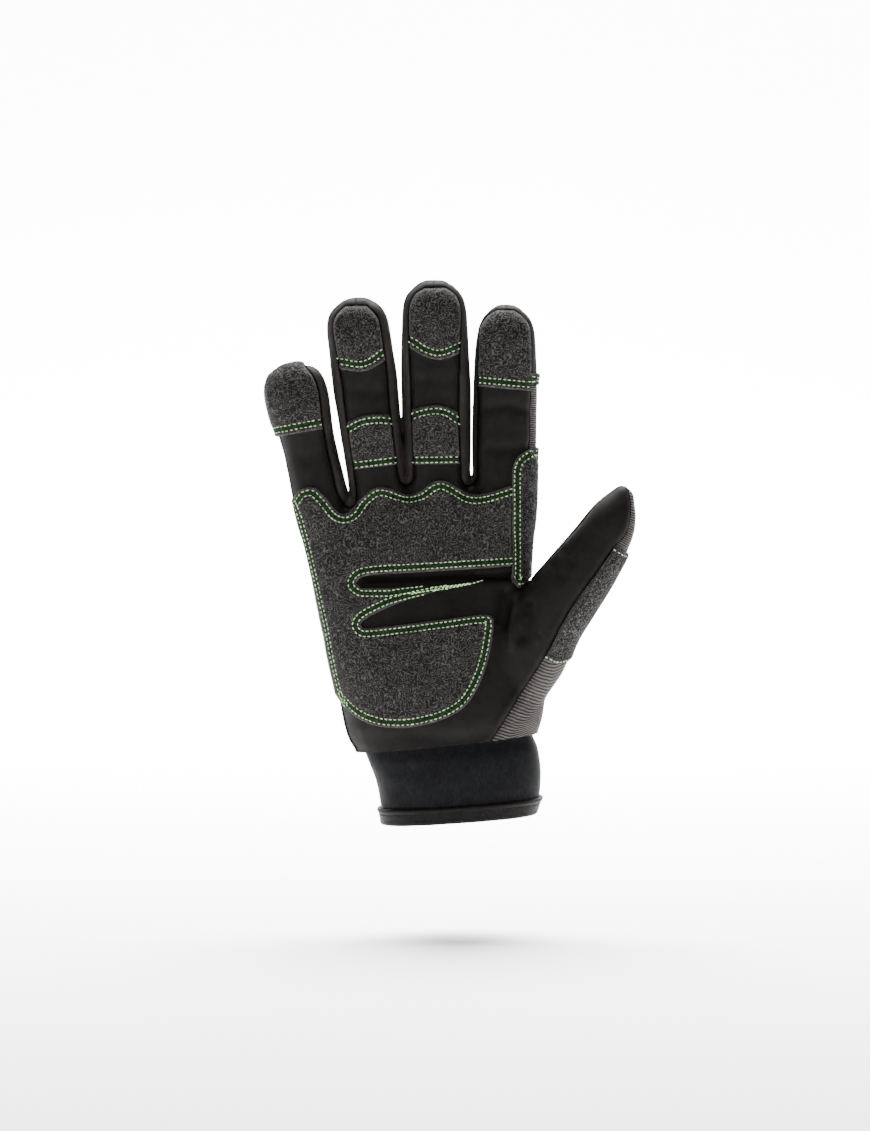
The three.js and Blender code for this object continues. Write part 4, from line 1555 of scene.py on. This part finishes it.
def patch_forms() -> list[PatchForm]:
    """Returns all the grip patches."""
    slots = [Stitching(line) for line in wedge_rows()]
    palm = [Stitching(inset(PALM_TOP, 2.8)), *slots, Stitching(smooth_line(PALM_SIDE_STITCHES)),
            *(Stitching(line, rows=1) for line in WEDGE_ROWS)]
    saddle = [Stitching(inset(SADDLE[1:11], -2.2))]
    thumb = [Stitching(inset(THUMB_LOW_EDGE[:4], -0.9), rows=1, banded=False),
             Stitching([(69.6, 123), (72.6, 121), (76.2, 119.4)], rows=1, banded=False)]
    return [
        PatchForm("palm_patch", palm_region, palm, (0.12, 0.115), 0.0087),
        PatchForm("saddle_patch", saddle_region, saddle, (0.03, 0.07), 0.0016),
        PatchForm("thumb_patch", thumb_region, thumb, (0.035, 0.06), 0.0016),
        finger_patch("pinky_tip_patch", Finger.PINKY,
                     [(-95, 171), (-82.6, 174), (-62.3, 177.7), (-50, 179)], 3.2, (0.035, 0.035), 0.0010,
                     soft_above=200),
        finger_patch("ring_tip_patch", Finger.RING,
                     [(-65, 207), (-55.4, 205.2), (-45.5, 203.6), (-38.2, 206.1), (-30, 213)], 3.4,
                     (0.025, 0.032), 0.0007, soft_above=226),
        finger_patch("ring_middle_patch", Finger.RING,
                     [(-60, 157.6), (-47.7, 159.1), (-29.2, 161.3), (-20, 162.4)], 2.0,
                     (0.022, 0.026), 0.0005,
                     [(-60, 172), (-52, 179.5), (-45.5, 183.2), (-38.2, 184.3), (-31.9, 183.7),
                      (-20, 181)], 2.8),
        finger_patch("middle_tip_patch", Finger.MIDDLE,
                     [(-30, 220), (-22.7, 214.8), (-17.4, 211.1), (-11.1, 209), (-5.6, 209.8), (0, 212.4),
                      (8, 218)], 3.2, (0.026, 0.036), 0.0008, soft_above=233),
        finger_patch("middle_middle_patch", Finger.MIDDLE,
                     [(-30, 161.3), (-11, 161.5), (8, 161.7)], 2.0, (0.024, 0.028), 0.0006,
                     [(-30, 180), (-22, 185.8), (-16.5, 187.8), (-10.2, 188.5), (-4.7, 187.1), (0, 183.6),
                      (8, 176)], 2.8),
        index_tip_patch(),
    ]


@dataclass
class StitchRow:
    """Places along one row of stitches, each with its normal."""

    pitch: float
    places: list[Vector] = field(default_factory=list)
    normals: list[Vector] = field(default_factory=list)

    def beside(self, tree: BVHTree, distance: float) -> "StitchRow":
        """Moves the row sideways over a surface.

        Args:
            tree: The surface.
            distance: How far the row moves.

        Returns:
            The moved row.
        """
        moved = StitchRow(self.pitch)
        for number, (place, normal) in enumerate(zip(self.places, self.normals)):
            side = normal.cross(self.run(number)).normalized()
            spot, facing, _, _ = tree.find_nearest(place + side * distance)
            moved.places.append(spot)
            moved.normals.append(facing)
        return moved

    def run(self, number: int) -> Vector:
        """Returns the row's direction at one of its places."""
        after, before = min(number + 2, len(self.places) - 1), max(number - 2, 0)
        return (self.places[after] - self.places[before]).normalized()


@dataclass
class Patches:
    """The grip patches with their stitches."""

    palette: Palette
    gap: float = 0.3
    thickness: float = 1.2
    row_spacing: float = 2.4
    row_press: float = 0.35
    row_width: float = 0.5
    band_press: float = 0.2
    band_width: float = 1.3
    rim_drop: float = 0.6
    rim_width: float = 0.45
    soft_drop: float = 1.05
    soft_width: float = 2.4
    soft_reach: float = 4.0
    pitch: float = 1.9
    single_pitch: float = 1.5
    stitch: tuple[float, float, float] = (1.5, 0.56, 0.5)
    fuzz: float = 0.12
    overlap: float = 2.5  # skin round a patch that is copied before the patch is cut
    turn: float = 0.12  # how far a stitch leans off its row
    uneven: float = 0.1  # how far a stitch's size differs
    lift: float = 0.12  # how far a stitch stands above its groove
    trace_step: float = 0.35  # between the places of a row
    past_edge: float = 0.1  # how far past the patch's edge a stitch may lie
    seed: int = 7

    def build(self, skin: bmesh.types.BMesh) -> list[bpy.types.Object]:
        """Lays every patch on the skin.

        Args:
            skin: The skin of the whole hand.

        Returns:
            The patches.
        """
        chance = random.Random(self.seed)
        centres = face_rest(skin)
        return [self.lay(form, skin, centres, chance) for form in patch_forms()]

    def lay(self, form: PatchForm, skin: bmesh.types.BMesh, centres: np.ndarray,
            chance: random.Random) -> bpy.types.Object:
        """Lays one patch on the skin and sews it down.

        Args:
            form: The patch.
            skin: The skin of the whole hand.
            centres: The middles of its faces on the plain skin.
            chance: Where the small irregularities come from.

        Returns:
            The patch.
        """
        base = part_of(skin, form.region(centres) < self.overlap)
        bmesh.ops.subdivide_edges(base, edges=base.edges, cuts=1, use_grid_fill=True)
        bmesh.ops.triangulate(base, faces=[face for face in base.faces if len(face.verts) > 4])
        cut_along(base, form.region)
        tree = BVHTree.FromBMesh(base)
        base = part_of_freed(base, form.region(face_rest(base)) < 0)
        centre_rows = [self.trace(tree, line) for line in form.stitching]
        rows = []
        for row, line in zip(centre_rows, form.stitching):
            if line.rows == 2:
                rows += [row.beside(tree, self.row_spacing / 2), row.beside(tree, -self.row_spacing / 2)]
            else:
                rows.append(row)
        band = distance_to(base, [row for row, line in zip(centre_rows, form.stitching) if line.banded])
        near_row = distance_to(base, rows)
        edge = -form.region(rest_of(base))
        store(base, "band", band)
        store(base, "edge", edge)
        press = self.row_press * hollow(near_row, self.row_width)
        press += self.band_press * hollow(band, self.band_width)
        soft = fade(rest_of(base)[:, 2] - form.soft_above, self.soft_reach)
        drop = self.rim_drop + soft * (self.soft_drop - self.rim_drop)
        width = self.rim_width + soft * (self.soft_width - self.rim_width)
        rim = drop * hollow(np.maximum(edge, 0), width)
        fuzz = self.fuzz * np.array([noise.noise(vert.co / 0.9) for vert in base.verts])
        low = np.full(len(base.verts), self.gap)
        high = self.gap + self.thickness - press - rim + fuzz
        thickened(base, low, high)
        patch = finished(base, form.piece, self.palette[Slot.GRIP_PATCH])
        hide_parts(form.name)
        stitches = self.sew(form, rows, chance)
        return patch

    def trace(self, tree: BVHTree, line: Stitching) -> StitchRow:
        """Finds a stitch line on the surface.

        Args:
            tree: The surface.
            line: The line.

        Returns:
            The row along it.
        """
        row = StitchRow(self.pitch if line.rows == 2 else self.single_pitch)
        for x, z in evenly(line.line, self.trace_step):
            place, normal, _, _ = tree.ray_cast(Vector((x, -FAR, z)), Vector((0, 1, 0)))
            if place:
                row.places.append(place)
                row.normals.append(normal)
        return row

    def sew(self, form: PatchForm, rows: list[StitchRow], chance: random.Random) -> bpy.types.Object:
        """Makes the stitches of a patch.

        Args:
            form: The patch.
            rows: Its rows of stitches.
            chance: Where the small irregularities come from.

        Returns:
            The stitches as one piece.
        """
        bm = bmesh.new()
        height = self.gap + self.thickness - self.row_press
        for row in rows:
            outside = form.region(np.array(row.places)) > self.past_edge
            travelled = row.pitch
            for number in range(1, len(row.places)):
                travelled += (row.places[number] - row.places[number - 1]).length
                if travelled < row.pitch:
                    continue
                travelled = 0.0
                if not outside[number]:
                    place, normal = row.places[number], row.normals[number]
                    self.add_stitch(bm, place, row.run(number), normal, height, chance)
        return finished(bm, form.piece + "_stitches", self.palette[Slot.THREAD])

    def add_stitch(self, bm: bmesh.types.BMesh, place: Vector, run: Vector, normal: Vector, height: float,
                   chance: random.Random) -> None:
        """Adds one stitch.

        Args:
            bm: The stitches so far.
            place: Its place on the skin.
            run: The row's direction.
            normal: The surface's normal.
            height: How far above the skin it lies.
            chance: Where its small turn and size come from.
        """
        side = normal.cross(run).normalized()
        along = (run + side * chance.uniform(-self.turn, self.turn)).normalized()
        length, width, depth = (size / 2 * chance.uniform(1 - self.uneven, 1 + self.uneven)
                                for size in self.stitch)
        columns = (along * length, normal.cross(along).normalized() * width, normal * depth)
        turn = Matrix([[column[axis] for column in columns] for axis in range(3)]).to_4x4()
        matrix = Matrix.Translation(place + normal * (height + self.lift)) @ turn
        bmesh.ops.create_uvsphere(bm, u_segments=6, v_segments=4, radius=1, matrix=matrix)


def distance_to(bm: bmesh.types.BMesh, rows: list[StitchRow]) -> np.ndarray:
    """Measures how far each vertex lies from the nearest row.

    Args:
        bm: The mesh.
        rows: The rows.

    Returns:
        One distance for each vertex, large where there are no rows.
    """
    places = [place for row in rows for place in row.places]
    if not places:
        return np.full(len(bm.verts), FAR)
    near = KDTree(len(places))
    for number, place in enumerate(places):
        near.insert(place, number)
    near.balance()
    return np.array([near.find(vert.co)[2] for vert in bm.verts])


def part_of_freed(bm: bmesh.types.BMesh, keep: np.ndarray) -> bmesh.types.BMesh:
    """Returns a mesh with the kept faces only, and frees the whole one."""
    part = part_of(bm, keep)
    bm.free()
    return part


# Cuff and hem


@dataclass
class Cuff:
    """The foam cuff with its wall and soft dents."""

    palette: Palette
    sides: int = 240
    steps: int = 8
    wall: float = CUFF_WALL
    wander: float = 0.2
    wander_size: float = 13.0
    flat: tuple[float, float] = (0.205, 0.043)
    area: float = 0.0085
    folds: list[Fold] = field(default_factory=lambda: [
        Fold([(-27, 12), (-22, 22)], 4.0, 0.9),
        Fold([(-30, 22), (-10, 25)], 3.0, 0.4),
        Fold([(5, 16), (20, 20)], 5.0, 0.5),
    ])

    def build(self) -> bpy.types.Object:
        """Returns the cuff."""
        bm = tube(level_rings(CUFF_SECTIONS, self.steps), self.sides, capped=False)
        bm.normal_update()
        points = points_of(bm)
        normals = [vert.normal.copy() for vert in bm.verts]
        heights = sum(fold.height(points) for fold in self.folds)
        for vert, normal, height in zip(bm.verts, normals, heights):
            front = min(max(-normal.y * FRONT_SHARE, 0), 1)
            vert.co += normal * (height * front + self.wander * noise.noise(vert.co / self.wander_size))
        count = len(bm.verts)
        thickened(bm, np.full(count, -self.wall), np.zeros(count))
        piece = finished(bm, "foam_cuff", self.palette[Slot.NEOPRENE])
        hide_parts("cuff")
        return piece


@dataclass
class Hem:
    """The binding folded over the cuff's rim, with a bead along its top."""

    palette: Palette
    sides: int = 240
    gap: float = 0.3
    wall: float = 1.1
    bead: float = 0.7
    top: float = 6.4
    flat: tuple[float, float] = (0.205, 0.02)
    area: float = 0.0038
    pitch: float = 1.9
    wander: float = 0.12
    wander_size: float = 9.0
    stitch: tuple[float, float, float] = (0.62, 0.22, 0.22)  # half sizes
    stitch_height: float = 3.4
    stitch_lift: float = 0.05

    def profile(self) -> Outline:
        """Returns the binding's cut as pairs of distance out from the rim and height."""
        out = self.gap + self.wall
        bead = out + self.bead
        inner = -CUFF_WALL - self.gap
        return [
            (self.gap, self.top), (out, self.top), (bead - 0.2, 5.9), (bead, 5.2), (bead - 0.2, 4.6),
            (out, 4.1), (out, 1.5), (out, -0.4), (out - 0.5, -1.2), (0.2, -out), (inner + 0.3, -out),
            (inner - self.wall + 0.5, -1.2), (inner - self.wall, -0.4), (inner - self.wall, self.top),
            (inner, self.top), (inner, -self.gap), (self.gap, -self.gap),
        ]

    def place(self, share: float, out: float, height: float) -> Vector:
        """Finds a place on the binding.

        Args:
            share: How far round the rim.
            out: How far out from the cuff's surface.
            height: How far above the rim.

        Returns:
            The place.
        """
        rows = np.array(CUFF_SECTIONS)
        level = np.clip(height, 0, CUFF_SECTIONS[-1][0])
        row = [float(np.interp(level, rows[:, 0], rows[:, column])) for column in range(6)]
        z, tilt, left, right, front, back = row
        half = ((right - left) / 2 + out, (back - front) / 2 + out)
        centre = Vector(((left + right) / 2, (front + back) / 2, z + min(height, 0)))
        ring = Ring(centre, Vector((1, 0, tilt)), Vector((0, 1, 0)), *half)
        return ring.point(share)

    def build(self) -> bpy.types.Object:
        """Returns the binding, with its stitches as a piece of its own."""
        profile = evenly([*self.profile(), self.profile()[0]], 0.45)
        last = len(profile) - 1
        bm = bmesh.new()
        bmesh.ops.create_grid(bm, x_segments=self.sides, y_segments=last, size=1.0)
        for vert in bm.verts:
            out, height = profile[round((vert.co.y + 1) / 2 * last)]
            vert.co = self.place((vert.co.x + 1) / 2, out, height)
        bmesh.ops.remove_doubles(bm, verts=bm.verts, dist=MERGE)
        smoothed(bm, 0.4)
        for vert in bm.verts:
            vert.co += Vector((0, 0, self.wander * noise.noise(vert.co / self.wander_size)))
        bmesh.ops.recalc_face_normals(bm, faces=bm.faces)
        piece = finished(bm, "rim_binding", self.palette[Slot.BINDING])
        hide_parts("hem_binding")
        self.sew()
        return piece

    def sew(self) -> bpy.types.Object:
        """Returns the small stitches just below the bead."""
        bm = bmesh.new()
        around, next_share = 200.0, 0.002
        count = int(around / self.pitch)
        out = self.gap + self.wall + self.stitch_lift
        for number in range(count):
            share = number / count
            place = self.place(share, out, self.stitch_height)
            ahead = self.place(share + next_share, out, self.stitch_height)
            along = (ahead - place).normalized()
            matrix = Matrix.Translation(place) @ along.to_track_quat("X", "Z").to_matrix().to_4x4()
            size = Matrix.Diagonal((*self.stitch, 1))
            bmesh.ops.create_uvsphere(bm, u_segments=6, v_segments=4, radius=1, matrix=matrix @ size)
        return finished(bm, "rim_stitches", self.palette[Slot.BINDING])


# Studio


@dataclass
class Studio:
    """A pale sweep, soft lights and the camera."""

    floor: float = -0.055
    aim: tuple[float, float, float] = (-0.0114, 0.0, 0.1147)
    distance: float = 2.4
    elevation: float = 2.5
    lens: float = 166.8
    sweep_depth: float = 1.7
    sweep_front: float = 2.5
    sweep_radius: float = 0.5
    sweep_rise: float = 2.2
    sweep_half_width: float = 3.0
    sweep_steps: int = 90

    def build(self) -> None:
        """Sets up the sweep, the lights and the camera."""
        self.sweep()
        self.lights()
        self.camera()

    def sweep(self) -> None:
        """Makes the floor that curves up into the backdrop."""
        bm = bmesh.new()
        bmesh.ops.create_grid(bm, x_segments=2, y_segments=self.sweep_steps, size=1.0)
        straight = self.sweep_depth + self.sweep_front
        bend = self.sweep_radius * math.pi / 2
        for vert in bm.verts:
            run = (vert.co.y + 1) / 2 * (straight + bend + self.sweep_rise)
            y, z = -self.sweep_front + min(run, straight), 0.0
            if run > straight:
                angle = min((run - straight) / self.sweep_radius, math.pi / 2)
                y += self.sweep_radius * math.sin(angle)
                z = self.sweep_radius * (1 - math.cos(angle)) + max(run - straight - bend, 0)
            vert.co = Vector((vert.co.x * self.sweep_half_width, y, self.floor + z))
        mesh = bpy.data.meshes.new("sweep")
        for face in bm.faces:
            face.smooth = True
        bm.to_mesh(mesh)
        bm.free()
        nodes, shader, material = new_material("paper")
        where = nodes.add("TexCoord").outputs["Object"]
        tone = nodes.between(nodes.noise(where, 3.0, 2.0), 0.3, 0.7)
        nodes.feed(shader, Base_Color=nodes.mix(tone, (0.92, 0.92, 0.92), (0.94, 0.94, 0.94)), Roughness=0.9)
        mesh.materials.append(material)
        sweep = bpy.data.objects.new("sweep", mesh)
        bpy.context.scene.collection.objects.link(sweep)

    def lights(self) -> None:
        """Adds the lights, with the sweep lit more strongly than the glove."""
        self.area("key", (-0.9, -1.3, 1.3), self.aim, 1.0, 11.0)
        self.area("fill", (1.3, -1.0, 0.9), self.aim, 1.0, 2.5)
        self.area("backdrop left", (-1.5, 1.1, 1.4), (0.1, 2.2, 0.4), 1.2, 130.0, 110.0)
        self.area("backdrop right", (1.5, 1.1, 1.4), (-0.1, 2.2, 0.4), 1.2, 130.0, 110.0)
        self.area("top", (0.0, 1.0, 1.9), (0.0, 0.9, 0.0), 1.8, 230.0, 110.0)
        world = bpy.data.worlds.new("studio")
        world.use_nodes = True
        background = world.node_tree.nodes["Background"]
        background.inputs["Color"].default_value = (1.0, 1.0, 1.0, 1.0)
        background.inputs["Strength"].default_value = 0.15
        bpy.context.scene.world = world

    def area(self, name: str, place: tuple[float, float, float], aim: tuple[float, float, float],
             size: float, power: float, spread: float = 180.0) -> None:
        """Adds a square soft light.

        Args:
            name: Its name.
            place: Where it stands, in metres.
            aim: What it points at.
            size: Its side, in metres.
            power: Its power, in watts.
            spread: The angle it shines into, in degrees.
        """
        light = bpy.data.lights.new(name, "AREA")
        light.spread = math.radians(spread)
        light.size = size
        light.energy = power
        lamp = bpy.data.objects.new(name, light)
        lamp.location = place
        lamp.rotation_euler = (Vector(aim) - Vector(place)).to_track_quat("-Z", "Y").to_euler()
        bpy.context.scene.collection.objects.link(lamp)

    def camera(self) -> None:
        """Adds the camera in front of the palm."""
        lens = bpy.data.cameras.new("camera")
        lens.lens = self.lens
        lens.sensor_width = 36.0
        lens.clip_end = 20.0
        camera = bpy.data.objects.new("camera", lens)
        angle = math.radians(self.elevation)
        away = Vector((0, -math.cos(angle), math.sin(angle))) * self.distance
        camera.location = Vector(self.aim) + away
        camera.rotation_euler = (-away).to_track_quat("-Z", "Y").to_euler()
        bpy.context.scene.collection.objects.link(camera)
        bpy.context.scene.camera = camera


def main() -> None:
    """Builds the glove piece by piece in front of its backdrop."""
    logging.basicConfig(level=logging.INFO, format="%(message)s")
    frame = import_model()
    log.info("frame: %d nodes", len(frame["nodes"]))
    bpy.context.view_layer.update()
    palette = Palette()
    skin = HandSkin().build()
    log.info("skin: %d faces", len(skin.faces))
    made = [*Panels(palette).build(skin), *Patches(palette).build(skin)]
    skin.free()
    made += [Cuff(palette).build(), Hem(palette).build()]
    log.info("glove: %d sheets, besides their stitches", len(made))
    Studio().build()
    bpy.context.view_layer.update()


if __name__ == "__main__":
    main()
